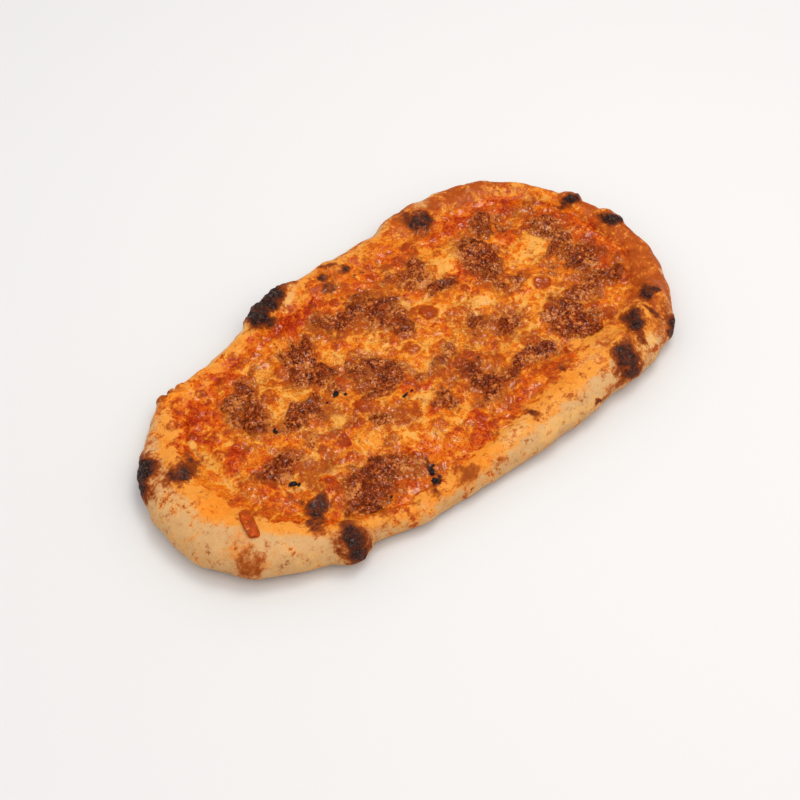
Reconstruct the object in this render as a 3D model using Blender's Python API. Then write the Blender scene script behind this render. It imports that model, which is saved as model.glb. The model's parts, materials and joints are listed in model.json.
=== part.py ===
"""A loaded oval flatbread: a puffed dough base with a raised, blistered rim, a sheet of melted cheese and
tomato in its well, clumps of browned mince on the cheese and one crisped strip on the rim.

Metres, +Z up. The long axis lies along X, the bread rests on the plane Z = 0 and the origin is at the middle
of its underside. The lists of places are in millimetres, as someone would read them off the baked bread."""

import math
import random

import bmesh
import bpy
import numpy as np
from mathutils import Matrix, Vector, geometry, noise

MM = 0.001

# Driving dimensions
LENGTH = 0.319  # of the rim's outer line, before blisters
WIDTH = 0.174
WELL_FLOOR = 0.0065  # of the hollow that holds the toppings, above the plane the bread rests on
TOPPING_LEVEL = 0.0125  # mean top of the cheese
CLEARANCE = 0.0003  # left between pieces that touch
LIP_BACK = 0.0025  # how far up the rim's inner slope the cheese reaches
CRUMB = 0.0038  # mean width of a crumb of mince

# The rim's section
CREST_SHARE = 0.46  # where the crest is, of the rim's width
BULGE_SHARE = 0.44  # how high the rim is widest, of its height
UNDERCUT_SHARE = 0.42  # how far in the foot is, of the rim's height
FLAT_UP_TO = 0.007  # the foot is flat, and unevenness is full from this height up
SLOPE_POWER = 1.6  # how steeply the inner slope leaves the crest

# How finely the faces follow the shape
SEGMENTS = 140
SAMPLES_PER_STATION = 24
FINE_SAMPLES = 720
UNDERCUT_TURNS = (0, 24, 46, 68)
CREST_TURNS = (0, 22, 44, 66, 90)
SLOPE_SHARES = (0.34, 0.68, 1.0)
CHEESE_PITCH = 0.0062
EDGE_ROOM = 0.7  # the inner points stay this far from the cheese's edge, of the pitch

# The rim, anticlockwise from the right-hand end: x, y, height of its crest, width from outside to topping
RIM_STATIONS = (
    (162, 0, 15, 16),
    (155, 31, 15, 15),
    (140, 59, 16, 19),
    (113, 81, 16, 24),
    (74, 88, 16, 26),
    (38, 84, 14, 21),
    (-8, 85, 15, 23),
    (-46, 76, 17, 18),
    (-84, 68, 14, 16),
    (-118, 62, 15, 19),
    (-142, 37, 18, 27),
    (-158, 8, 21, 36),
    (-156, -26, 22, 38),
    (-138, -52, 22, 37),
    (-107, -68, 19, 25),
    (-82, -72, 15, 13),
    (-56, -79, 14, 13),
    (-12, -83, 16, 18),
    (28, -86, 18, 25),
    (70, -85, 20, 33),
    (107, -82, 20, 33),
    (140, -61, 18, 27),
    (159, -29, 15, 17),
)

# Blisters that rose in the oven, most of them charred: x, y, length, width, turn in degrees, height
BLISTERS = (
    (-26, 83, 32, 17, 16, 4.5),
    (-43, 74, 18, 15, 60, 3.0),
    (-146, 30, 34, 15, 52, 2.5),
    (-131, 20, 20, 16, 10, 2.2),
    (-96, -68, 20, 18, 0, 4.2),
    (-94, -38, 13, 12, 0, 2.4),
    (-102, -46, 12, 10, 30, 1.8),
    (-137, -40, 22, 16, 70, 1.2),
    (-29, -77, 14, 12, 0, 1.0),
    (84, -73, 30, 14, 40, 2.6),
    (109, -60, 24, 15, 62, 2.4),
    (126, -56, 26, 14, 70, 2.0),
    (120, -76, 22, 12, 25, 1.8),
    (58, -58, 26, 18, 10, 1.6),
    (150, 28, 14, 12, 20, 2.4),
    (155, 2, 16, 14, -30, 2.6),
    (73, 75, 24, 16, 62, 2.2),
    (10, 76, 22, 14, 0, 1.6),
    (116, 71, 24, 10, -35, 1.2),
    (-112, 61, 12, 7, 0, 1.4),
)
SPOT_REACH = 0.63  # where a spot's swelling ends, of its length and width

# Pinches, where the dough is drawn in: x, y, length, width, turn in degrees, depth
PINCHES = (
    (-30, 66, 40, 12, 22, 2.2),
    (-138, 4, 12, 34, 0, 1.0),
    (-64, -72, 30, 10, -8, 1.2),
    (98, -66, 20, 8, 50, 1.6),
    (46, -50, 40, 7, 6, 1.4),
    (117, -62, 20, 6, 72, 1.4),
)

# Bubbles of cheese that swelled and browned: x, y, width, height
CHEESE_BUBBLES = (
    (57, -31, 16, 1.5),
    (30, 17, 11, 1.4),
    (6, 5, 12, 1.2),
    (35, 37, 9, 1.2),
    (90, -6, 12, 1.2),
    (-84, -7, 12, 1.3),
    (-54, -27, 15, 1.2),
    (104, 18, 18, 1.3),
    (66, 42, 17, 1.2),
    (-36, -9, 12, 1.3),
    (36, -31, 10, 1.1),
    (-72, 28, 13, 1.2),
    (84, -24, 10, 1.1),
    (-17, -42, 12, 1.1),
    (60, 8, 15, 1.0),
    (-110, 8, 14, 1.2),
)

# The unevenness of the dough and the cheese everywhere: size and depth, in metres
LUMPS = ((0.030, 0.0016), (0.011, 0.0010))

# Clumps of mince: x, y, length, width, turn in degrees
MINCE_CLUMPS = (
    (-84, 37, 28, 14, -6),
    (-88, 20, 23, 14, 68),
    (-67, 8, 28, 14, 4),
    (-41, 40, 21, 20, 80),
    (-44, 23, 24, 21, 0),
    (-26, 8, 28, 14, 0),
    (-8, 46, 35, 15, 4),
    (16, 36, 28, 15, -12),
    (14, 19, 20, 14, 80),
    (46, 46, 23, 17, 76),
    (49, 26, 19, 13, 0),
    (78, 31, 28, 17, 72),
    (96, 47, 26, 12, 22),
    (73, 12, 16, 11, 80),
    (126, 25, 25, 15, -52),
    (118, 7, 31, 13, 6),
    (82, 2, 19, 11, 10),
    (46, -5, 19, 13, 60),
    (15, -9, 19, 11, 10),
    (58, -17, 24, 11, 4),
    (20, -28, 20, 14, 76),
    (20, -44, 31, 11, 8),
    (48, -42, 31, 11, 0),
    (84, -41, 26, 21, 62),
    (97, -27, 29, 13, 10),
    (128, -30, 22, 18, 22),
    (122, -9, 22, 14, 32),
    (-97, -13, 29, 12, -4),
    (-20, -6, 33, 13, -8),
    (-61, -42, 29, 18, 4),
    (-68, -57, 30, 17, -8),
    (-43, -54, 19, 18, 42),
    (-5, -31, 19, 12, 80),
    (-38, -22, 18, 12, 0),
)
SEED = 11
CLUMP_SIDES = 18
CLUMP_UNEVEN = 0.10  # how far a clump's outline strays in and out, of its size
CLUMP_RISE = 0.0024  # how far the middle of a clump stands above the cheese
CLUMP_EDGE = 0.0011  # and its border
CLUMP_GAP = 1.07  # how near one clump comes to the next, of the other's size
CLUMP_REACHES = np.arange(1.0, 0.3, -0.05)  # tried in turn until a clump's outline is clear of the others
CLUMP_BOTTOM = 0.0080  # where the untrimmed solid ends, inside the cheese
CRUMB_HEIGHT = (0.0007, 0.0015)  # of the bumps that crumbs make, above the hollows between them
CRUMB_DRIFT = 0.14  # how far a bump strays from even spacing, of that spacing

# The crisped strip on the rim: middle, length, width and thickness, turn, and how far its ends curl up
STRIP_AT = (-0.1275, -0.0285)
STRIP_SIZE = (0.0150, 0.0065, 0.0026)
STRIP_TURN = math.radians(66)
STRIP_CURL = 0.0008
STRIP_SIDES = 20
STRIP_SQUARENESS = 0.55  # the power of its rounded outline: 1 is an oval, 0 is a rectangle
STRIP_SECTION = ((1.0, -1.0), (1.0, 0.5), (0.8, 1.0))  # shares of its width, at shares of its thickness

ONLY_INSIDE = 1  # the triangulation that keeps to an outline

NO_LENGTH = 2e-5  # points this near are one

COLOURS = {
    "crust": ((0.72, 0.36, 0.10, 1), 0.55),
    "cheese": ((0.83, 0.31, 0.03, 1), 0.30),
    "mince": ((0.26, 0.06, 0.015, 1), 0.40),
    "baked_strip": ((0.50, 0.09, 0.012, 1), 0.40),
}


def clear_scene():
    for obj in list(bpy.data.objects):
        bpy.data.objects.remove(obj)


def material(name):
    colour, roughness = COLOURS[name]
    made = bpy.data.materials.new(name)
    made.use_nodes = True
    shader = made.node_tree.nodes["Principled BSDF"]
    shader.inputs["Base Color"].default_value = colour
    shader.inputs["Roughness"].default_value = roughness
    shader.inputs["Metallic"].default_value = 0.0
    made.diffuse_color = colour
    return made


def smoothstep(low, high, value):
    t = np.clip((value - low) / (high - low), 0.0, 1.0)
    return t * t * (3.0 - 2.0 * t)


def closed_spline(rows, per_row):
    """A smooth closed curve through the rows, whose other columns go along with x and y."""
    rows = np.asarray(rows, float)
    before, after, beyond = (np.roll(rows, shift, axis=0) for shift in (1, -1, -2))
    t = (np.arange(per_row) / per_row)[None, :, None]
    a, b, c, d = (row[:, None, :] for row in (before, rows, after, beyond))
    curve = b + 0.5 * t * (c - a + t * (2 * a - 5 * b + 4 * c - d + t * (3 * (b - c) + d - a)))
    return curve.reshape(-1, rows.shape[1])


def rim_curve():
    """The widest line round the bread in plan, with the rim's height and width along it."""
    curve = closed_spline(RIM_STATIONS, SAMPLES_PER_STATION) * MM
    curve[:, :2] *= np.array((LENGTH, WIDTH)) / np.ptp(curve[:, :2], axis=0)
    return curve


class Rim:
    """The rim at places spaced evenly round the bread."""

    def __init__(self, count):
        curve = rim_curve()
        ring = np.vstack([curve, curve[:1]])
        run = np.concatenate([[0.0], np.cumsum(np.hypot(*np.diff(ring[:, :2], axis=0).T))])
        places = np.linspace(0.0, run[-1], count, endpoint=False)
        x, y, self.height, self.width = (np.interp(places, run, column) for column in ring.T)
        self.points = np.column_stack([x, y])
        along = np.roll(self.points, -1, axis=0) - np.roll(self.points, 1, axis=0)
        self.normals = np.column_stack([along[:, 1], -along[:, 0]]) / np.hypot(*along.T)[:, None]

    def nearest(self, x, y):
        """How deep inside the rim's outer line each point is, and the rim's height and width beside it."""
        gap = np.hypot(x[:, None] - self.points[:, 0], y[:, None] - self.points[:, 1])
        closest = gap.argmin(axis=1)
        return gap[np.arange(len(x)), closest], self.height[closest], self.width[closest]

    def inset(self, depth):
        """The rim's outer line moved inwards."""
        return self.points - self.normals * depth[:, None]


def inner_slope(depth, height, width):
    """The height of the top at a depth in from the rim's outer line, from the crest inwards."""
    crest = CREST_SHARE * width
    share = np.clip((depth - crest) / (width - crest), 0.0, 1.0)
    return TOPPING_LEVEL + (height - TOPPING_LEVEL) * np.cos(0.5 * math.pi * share) ** SLOPE_POWER


def oval_share(x, y, centre_x, centre_y, length, width, turn):
    """How far inside an oval spot each point is: 1 at its middle, 0 from its edge outwards."""
    turn = math.radians(turn)
    dx, dy = x - centre_x * MM, y - centre_y * MM
    along = (dx * math.cos(turn) + dy * math.sin(turn)) / (length * MM * SPOT_REACH)
    across = (dy * math.cos(turn) - dx * math.sin(turn)) / (width * MM * SPOT_REACH)
    inside = np.clip(1.0 - along * along - across * across, 0.0, 1.0)
    return inside * inside * (3.0 - 2.0 * inside)


def swell(points):
    """How far the dough and the cheese stand out from their smooth form at each point."""
    x, y, _ = points.T
    rise = np.zeros(len(points))
    for *spot, height in BLISTERS:
        rise += height * MM * oval_share(x, y, *spot)
    for *spot, depth in PINCHES:
        rise -= depth * MM * oval_share(x, y, *spot)
    for size, depth in LUMPS:
        rise += depth * np.array([noise.noise(Vector(point) / size) for point in points])
    return rise


def top_height(x, y, rim):
    """The height of the top, over the rim's inner slope and the toppings' sheet that runs on from it."""
    points = np.column_stack([x, y, inner_slope(*rim.nearest(x, y))])
    z = points[:, 2] + swell(points)
    for centre_x, centre_y, size, height in CHEESE_BUBBLES:
        z += height * MM * oval_share(x, y, centre_x, centre_y, size, size, 0)
    return z


def new_object(name, bm, colour):
    mesh = bpy.data.meshes.new(name)
    bm.to_mesh(mesh)
    bm.free()
    mesh.materials.append(colour)
    obj = bpy.data.objects.new(name, mesh)
    bpy.context.scene.collection.objects.link(obj)
    return obj


def ring_sides(count):
    """The numbers of the two points at the ends of each side of a closed ring."""
    return [(i, (i + 1) % count) for i in range(count)]


def closed_skin(rings):
    """A solid whose skin runs over these rings of points and is closed at both ends. The rings run
    anticlockwise seen from above, and the first one is the underside's."""
    bm = bmesh.new()
    rows = [[bm.verts.new(point) for point in ring] for ring in rings]
    sides = ring_sides(len(rows[0]))
    for lower, upper in zip(rows, rows[1:]):
        for i, j in sides:
            bm.faces.new((lower[i], lower[j], upper[j], upper[i]))
    foot, top = bm.verts.new(rings[0].mean(axis=0)), bm.verts.new(rings[-1].mean(axis=0))
    for i, j in sides:
        bm.faces.new((rows[0][j], rows[0][i], foot))
        bm.faces.new((rows[-1][i], rows[-1][j], top))
    return bm


def rim_ring(rim, depth, height, lean):
    """One ring of the dough's skin. The lean is how far up from straight outwards the skin faces."""
    base = np.column_stack([rim.inset(depth), height])
    facing = np.column_stack([rim.normals * math.cos(lean), np.full(len(base), math.sin(lean))])
    return base + facing * (swell(base) * smoothstep(0.0, FLAT_UP_TO, height))[:, None]


def make_crust(rim):
    """The dough: flat below, bulging at the side, rounded over the crest and hollowed for the toppings."""
    foot_in = UNDERCUT_SHARE * rim.height
    bulge = BULGE_SHARE * rim.height
    crest = CREST_SHARE * rim.width
    rings = []
    for a in np.radians(UNDERCUT_TURNS):
        rings.append(rim_ring(rim, foot_in * (1 - math.sin(a)), bulge * (1 - math.cos(a)), a - math.pi / 2))
    for a in np.radians(CREST_TURNS):
        rings.append(rim_ring(rim, crest * (1 - math.cos(a)), bulge + (rim.height - bulge) * math.sin(a), a))
    lip = rim.width - LIP_BACK
    for share in SLOPE_SHARES:
        depth = crest + (lip - crest) * share
        rings.append(rim_ring(rim, depth, inner_slope(depth, rim.height, rim.width), math.pi / 2))
    floor = rings[-1].copy()
    floor[:, 2] = WELL_FLOOR
    return new_object("crust", closed_skin([*rings, floor]), material("crust"))


def hexagonal_places(low, high, pitch):
    """Points of a hexagonal grid that fills a box in plan."""
    rows = np.arange(low[1], high[1], pitch * math.sqrt(0.75))
    places = [
        (x, y)
        for row, y in enumerate(rows)
        for x in np.arange(low[0] + pitch * 0.5 * (row % 2), high[0], pitch)
    ]
    return np.array(places)


def within(points, outline):
    """Which points lie inside a closed outline: those with an odd number of its sides to their right."""
    x, y = points.T
    inside = np.zeros(len(points), bool)
    for (x1, y1), (x2, y2) in zip(outline, np.roll(outline, -1, axis=0)):
        if y1 != y2:
            spans = (y1 > y) != (y2 > y)
            inside ^= spans & (x < x1 + (x2 - x1) * (y - y1) / (y2 - y1))
    return inside


def triangulated(edge, places):
    """The corners and triangles of a sheet inside an outline, with the outline's points first."""
    flat = [Vector(point) for point in np.vstack([edge, places])]
    outline = list(range(len(edge)))
    corners, _, faces, *_ = geometry.delaunay_2d_cdt(flat, [], [outline], ONLY_INSIDE, NO_LENGTH)
    return np.array(corners), faces


def slab(corners, faces, border, heights, bottom):
    """A solid with this uneven top, an upright wall round its border and a flat bottom."""
    bm = bmesh.new()
    top = [bm.verts.new((x, y, z)) for (x, y), z in zip(corners, heights)]
    foot = [bm.verts.new((x, y, bottom)) for x, y in corners[:border]]
    for face in faces:
        bm.faces.new([top[corner] for corner in face])
    for i, j in ring_sides(border):
        bm.faces.new((foot[i], foot[j], top[j], top[i]))
    bm.faces.new(foot[::-1])
    return bm


def make_cheese(rim, fine_rim):
    """The sheet of cheese and tomato: flat below, standing in the well, bumpy on top."""
    edge = rim.inset(rim.width - LIP_BACK + CLEARANCE)
    places = hexagonal_places(edge.min(axis=0), edge.max(axis=0), CHEESE_PITCH)
    depth, _, width = fine_rim.nearest(*places.T)
    places = places[depth > width - LIP_BACK + EDGE_ROOM * CHEESE_PITCH]
    corners, faces = triangulated(edge, places)
    heights = top_height(*corners.T, fine_rim)
    sheet = slab(corners, faces, len(edge), heights, WELL_FLOOR + CLEARANCE)
    return new_object("cheese", sheet, material("cheese"))


def raised_copy(obj):
    """A cutter: the same solid a clearance higher, which shapes the underside of what lies on it."""
    cutter = bpy.data.objects.new(obj.name + "_bed", obj.data.copy())
    cutter.data.transform(Matrix.Translation((0.0, 0.0, CLEARANCE)))
    cutter.hide_render = True
    cutter.display_type = "WIRE"
    bpy.context.scene.collection.objects.link(cutter)
    return cutter


def keep_largest_body(bm):
    """Drops the scraps that a cut left loose."""
    bodies, seen = [], set()
    for start in bm.verts:
        if start in seen:
            continue
        body, waiting = {start}, [start]
        while waiting:
            vert = waiting.pop()
            found = {edge.other_vert(vert) for edge in vert.link_edges} - body
            body |= found
            waiting += found
        seen |= body
        bodies.append(body)
    largest = max(bodies, key=len)
    bmesh.ops.delete(bm, geom=[vert for vert in bm.verts if vert not in largest], context="VERTS")


def trim(obj, bed):
    """Cuts the object to what it lies on, leaving a plain mesh in one body."""
    cut = obj.modifiers.new("Trim", "BOOLEAN")
    cut.operation = "DIFFERENCE"
    cut.object = bed
    bpy.context.view_layer.update()
    result = bpy.data.meshes.new_from_object(obj.evaluated_get(bpy.context.evaluated_depsgraph_get()))
    obj.modifiers.clear()
    bm = bmesh.new()
    bm.from_mesh(result)
    keep_largest_body(bm)
    bm.to_mesh(obj.data)
    bm.free()
    bpy.data.meshes.remove(result)


class Clump:
    """An oval patch of mince in plan."""

    def __init__(self, x, y, length, width, turn):
        self.centre = np.array((x, y)) * MM
        self.half = np.array((length, width)) * MM / 2
        a = math.radians(turn)
        self.axes = np.array(((math.cos(a), math.sin(a)), (-math.sin(a), math.cos(a))))

    def share(self, places):
        """0 at the middle of the oval, 1 at its edge."""
        return np.hypot(*((np.atleast_2d(places) - self.centre) @ self.axes.T / self.half).T)

    def outline(self, others, rim, draw):
        """The uneven line round the clump, drawn in where another clump or the rim is near."""
        points = []
        for a in np.arange(CLUMP_SIDES) / CLUMP_SIDES * 2 * math.pi:
            way = np.array((math.cos(a), math.sin(a))) * self.half @ self.axes
            way *= draw.uniform(1 - CLUMP_UNEVEN, 1 + CLUMP_UNEVEN)
            for reach in CLUMP_REACHES:
                point = self.centre + way * reach
                depth, _, width = rim.nearest(point[:1], point[1:])
                clear = all(other.share(point)[0] > CLUMP_GAP for other in others)
                if clear and depth[0] > width[0] - LIP_BACK + CLUMP_EDGE:
                    break
            points.append(point)
        return np.array(points)


def crumb_places(clump, edge, draw):
    """Places for the crumbs' tops and for the hollows between them, with the height of each above the clump.
    One point in three of a hexagonal grid is a top, so each top has six hollows round it."""
    pitch = CRUMB / math.sqrt(3)
    reach = clump.half.max() * (1 + CLUMP_UNEVEN)
    low, high = clump.centre - reach, clump.centre + reach
    places, heights = [], []
    for row, y in enumerate(np.arange(low[1], high[1], pitch * math.sqrt(0.75))):
        for column, x in enumerate(np.arange(low[0], high[0], pitch)):
            drift = np.array((draw.uniform(-1, 1), draw.uniform(-1, 1))) * CRUMB_DRIFT * CRUMB
            is_top = (column - row + row // 2 * 3) % 3 == 0
            places.append((x + pitch * 0.5 * (row % 2) + drift[0], y + drift[1]))
            heights.append(draw.uniform(*CRUMB_HEIGHT) if is_top else 0.0)
    places, heights = np.array(places), np.array(heights)
    inner = clump.centre + (edge - clump.centre) * (1 - 0.5 * pitch / clump.half.min())
    fits = within(places, inner)
    return places[fits], heights[fits]


def make_clump(number, clump, others, fine_rim, colour, draw):
    """A low patch of mince, bumpy with crumbs on top. It reaches down into the cheese until it is trimmed."""
    edge = clump.outline(others, fine_rim, draw)
    places, bumps = crumb_places(clump, edge, draw)
    corners, faces = triangulated(edge, places)
    rise = CLUMP_EDGE + (CLUMP_RISE - CLUMP_EDGE) * (1 - np.minimum(clump.share(corners), 1) ** 2)
    rise[len(edge) :] += bumps
    heights = top_height(*corners.T, fine_rim) + rise
    return new_object(f"mince_{number:02}", slab(corners, faces, len(edge), heights, CLUMP_BOTTOM), colour)


def make_mince(bed, fine_rim):
    """The clumps of mince, each shaped below to the cheese."""
    draw = random.Random(SEED)
    colour = material("mince")
    clumps = [Clump(*row) for row in MINCE_CLUMPS]
    for number, clump in enumerate(clumps, 1):
        others = [other for other in clumps if other is not clump]
        trim(make_clump(number, clump, others, fine_rim, colour, draw), bed)


def make_baked_strip(bed, fine_rim):
    """The crisped strip: a thin curling flap that lies on the rim's inner slope and follows it."""
    length, width, thickness = STRIP_SIZE
    turns = np.arange(STRIP_SIDES) / STRIP_SIDES * 2 * math.pi
    along = np.sign(np.cos(turns)) * np.abs(np.cos(turns)) ** STRIP_SQUARENESS
    across = np.sign(np.sin(turns)) * np.abs(np.sin(turns)) ** STRIP_SQUARENESS
    c, s = math.cos(STRIP_TURN), math.sin(STRIP_TURN)
    rings = []
    for share, rise in STRIP_SECTION:
        rise *= thickness
        u, v = along * share * length / 2, across * share * width / 2
        x, y = STRIP_AT[0] + u * c - v * s, STRIP_AT[1] + u * s + v * c
        curl = STRIP_CURL * smoothstep(0.3, 1.0, np.abs(along) * share)
        rings.append(np.column_stack([x, y, top_height(x, y, fine_rim) + rise + curl]))
    strip = new_object("baked_strip", closed_skin(rings), material("baked_strip"))
    trim(strip, bed)


def centre_on_origin():
    """Moves the finished pieces so that the middle of the bread's underside is the origin."""
    meshes = {obj.data for obj in bpy.data.objects}
    corners = np.array([vert.co for mesh in meshes for vert in mesh.vertices])
    low, high = corners.min(axis=0), corners.max(axis=0)
    shift = Matrix.Translation((-(low[0] + high[0]) / 2, -(low[1] + high[1]) / 2, -low[2]))
    for mesh in meshes:
        mesh.transform(shift)


def main():
    clear_scene()
    rim, fine_rim = Rim(SEGMENTS), Rim(FINE_SAMPLES)
    crust = make_crust(rim)
    cheese = make_cheese(rim, fine_rim)
    crust_bed, cheese_bed = raised_copy(crust), raised_copy(cheese)
    make_mince(cheese_bed, fine_rim)
    make_baked_strip(crust_bed, fine_rim)
    for bed in (crust_bed, cheese_bed):
        bpy.data.objects.remove(bed)
    centre_on_origin()


main()
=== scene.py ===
"""Looks of the loaded flatbread: baked dough with charred blisters, melted cheese and tomato, browned mince.

The file is laid out as an add-on and run as a script. Lists of places are in millimetres, measured on the
baked bread from near its middle; MIDDLE says where the frame's origin lies in them."""

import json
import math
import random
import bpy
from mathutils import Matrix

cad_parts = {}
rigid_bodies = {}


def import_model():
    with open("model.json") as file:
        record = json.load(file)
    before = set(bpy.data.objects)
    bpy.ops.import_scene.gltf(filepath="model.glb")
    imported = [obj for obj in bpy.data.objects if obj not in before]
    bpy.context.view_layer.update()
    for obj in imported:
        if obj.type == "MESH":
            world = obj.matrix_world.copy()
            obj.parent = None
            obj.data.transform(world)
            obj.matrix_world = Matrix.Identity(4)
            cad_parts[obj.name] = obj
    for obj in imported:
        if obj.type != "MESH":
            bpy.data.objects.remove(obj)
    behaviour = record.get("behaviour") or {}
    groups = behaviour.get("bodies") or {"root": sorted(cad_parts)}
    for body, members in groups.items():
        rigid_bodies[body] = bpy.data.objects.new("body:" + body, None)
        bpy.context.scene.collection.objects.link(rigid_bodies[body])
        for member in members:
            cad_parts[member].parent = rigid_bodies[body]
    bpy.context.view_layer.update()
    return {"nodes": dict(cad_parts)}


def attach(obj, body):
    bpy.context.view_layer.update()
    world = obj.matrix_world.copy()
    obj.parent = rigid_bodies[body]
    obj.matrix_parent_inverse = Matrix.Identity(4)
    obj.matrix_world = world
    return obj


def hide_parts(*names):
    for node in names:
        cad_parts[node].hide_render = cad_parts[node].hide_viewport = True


bl_info = {
    "name": "Loaded flatbread",
    "version": (1, 0, 0),
    "blender": (4, 5, 0),
    "location": "3D View > Sidebar > Bread",
    "description": "Builds the finished surface of a loaded, charred flatbread over its solids",
    "category": "Object",
}

import bmesh
import bpy
import numpy as np
from bpy.props import FloatProperty, FloatVectorProperty, IntProperty, PointerProperty
from mathutils import Matrix, Vector, kdtree, noise

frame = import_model()

MM = 0.001
MIDDLE = (2.54 * MM, 0.87 * MM)  # the frame's origin, in the coordinates of the lists

# The solids' own form, which the finished pieces follow
LENGTH = 0.319  # of the rim's smooth outer line
WIDTH = 0.174
TOPPING_LEVEL = 0.0125
WELL_FLOOR = 0.0065
CREST_SHARE = 0.46  # of the rim's width, from outside in to its crest
BULGE_SHARE = 0.44  # of its height, up to where it is widest
UNDERCUT_SHARE = 0.42  # of its height: how far in its foot is drawn
FLAT_UP_TO = 0.007  # relief comes in over this height, because the underside is flat
SLOPE_POWER = 1.6  # how steeply the inner slope falls from the crest
SPOT_REACH = 0.63  # how far out a swelling runs, as a share of its listed size
LUMPS = ((0.030, 0.0016), (0.011, 0.0010))  # size, and how far up and down

# How finely the finished surfaces follow it
ROUND = 1400  # places round the dough's skin
SAMPLES_PER_STATION = 96
FINE_SAMPLES = 2880  # places round the rim that sheets are measured from
UNDERCUT_RINGS = 12
OUTER_RINGS = 26
SLOPE_RINGS = 22
TOPPING_PITCH = 0.00062
MINCE_PITCH = 0.00056
LAST_RING_IN = 0.0003  # the dough's skin ends this far in from the well's edge

# The rim, anticlockwise from the right-hand end: x, y, crest height, width from outside to topping, how far
# in the oil's stain begins, how red the dough baked there, and how far the topping's colours ran over it
RIM_STATIONS = (
    (162, 0, 15, 16, 2, 0.95, 0.2),
    (155, 31, 15, 15, 3, 0.9, 0.4),
    (140, 59, 16, 19, 3, 0.6, 0.5),
    (113, 81, 16, 24, 3, 0.95, 0.0),
    (74, 88, 16, 26, 5, 0.9, 0.2),
    (38, 84, 14, 21, 4, 0.55, 0.4),
    (-8, 85, 15, 23, 5, 0.3, 0.4),
    (-46, 76, 17, 18, 5, 0.2, 0.35),
    (-84, 68, 14, 16, 4, 0.2, 0.7),
    (-118, 62, 15, 19, 4, 0.35, 0.6),
    (-142, 37, 18, 27, 8, 0.3, 0.3),
    (-158, 8, 21, 36, 15, 0.0, 0.1),
    (-156, -26, 22, 38, 17, 0.0, 0.0),
    (-138, -52, 22, 37, 17, 0.0, 0.12),
    (-107, -68, 19, 25, 9, 0.15, 0.45),
    (-82, -72, 15, 13, 3, 0.3, 0.5),
    (-56, -79, 14, 13, 3, 0.3, 0.5),
    (-12, -83, 16, 18, 5, 0.2, 0.1),
    (28, -86, 18, 25, 8, 0.2, 0.1),
    (70, -85, 20, 33, 10, 0.35, 0.0),
    (107, -82, 20, 33, 7, 0.5, 0.1),
    (140, -61, 18, 27, 4, 0.95, 0.0),
    (159, -29, 15, 17, 3, 1.0, 0.2),
)

# Blisters that rose in the oven: x, y, length, width, turn in degrees, height
BLISTERS = (
    (-26, 83, 32, 17, 16, 4.5), (-43, 74, 18, 15, 60, 3.0), (-146, 30, 34, 15, 52, 2.5),
    (-131, 20, 20, 16, 10, 2.2), (-95, -67, 20, 18, 0, 4.0), (-94, -38, 13, 12, 0, 2.4),
    (-102, -46, 12, 10, 30, 1.8), (-137, -40, 22, 16, 70, 1.2), (-29, -77, 14, 12, 0, 1.0),
    (84, -73, 30, 14, 40, 2.6), (109, -60, 24, 15, 62, 2.4), (126, -56, 26, 14, 70, 2.0),
    (120, -76, 22, 12, 25, 1.8), (58, -58, 26, 18, 10, 1.6), (150, 28, 14, 12, 20, 2.4),
    (155, 2, 16, 14, -30, 2.6), (73, 75, 24, 16, 62, 2.2), (10, 76, 22, 14, 0, 1.6),
    (116, 71, 24, 10, -35, 1.2), (-112, 61, 12, 7, 0, 1.4), (-112, 63, 5, 4, 0, 1.6),
    (-105, 64.5, 4, 3, 0, 1.4), (-100, 64, 5, 3, 0, 1.2), (-89, 61, 5, 4, 0, 1.2),
)

# Pinches, where the dough is drawn in: x, y, length, width, turn in degrees, depth
PINCHES = (
    (-30, 66, 40, 12, 22, 2.2), (-138, 4, 12, 34, 0, 1.0), (-64, -72, 30, 10, -8, 1.2),
    (98, -66, 20, 8, 50, 1.6), (46, -50, 40, 7, 6, 1.4), (117, -62, 20, 6, 72, 1.4),
)

# Bubbles of cheese that swelled and browned: x, y, width, height
CHEESE_BUBBLES = (
    (57, -31, 16, 1.5), (30, 17, 11, 1.4), (6, 5, 12, 1.2), (35, 37, 9, 1.2), (90, -6, 12, 1.2),
    (-84, -7, 12, 1.3), (-54, -27, 15, 1.2), (104, 18, 18, 1.3), (66, 42, 17, 1.2), (-36, -9, 12, 1.3),
    (36, -31, 10, 1.1), (-72, 28, 13, 1.2), (84, -24, 10, 1.1), (-17, -42, 12, 1.1), (60, 8, 15, 1.0),
    (-110, 8, 14, 1.2), (-119, 32, 10, 1.0), (-112, 25, 9, 0.9), (-107, -4, 10, 0.9), (-112, 38, 12, 0.8),
)

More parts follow.
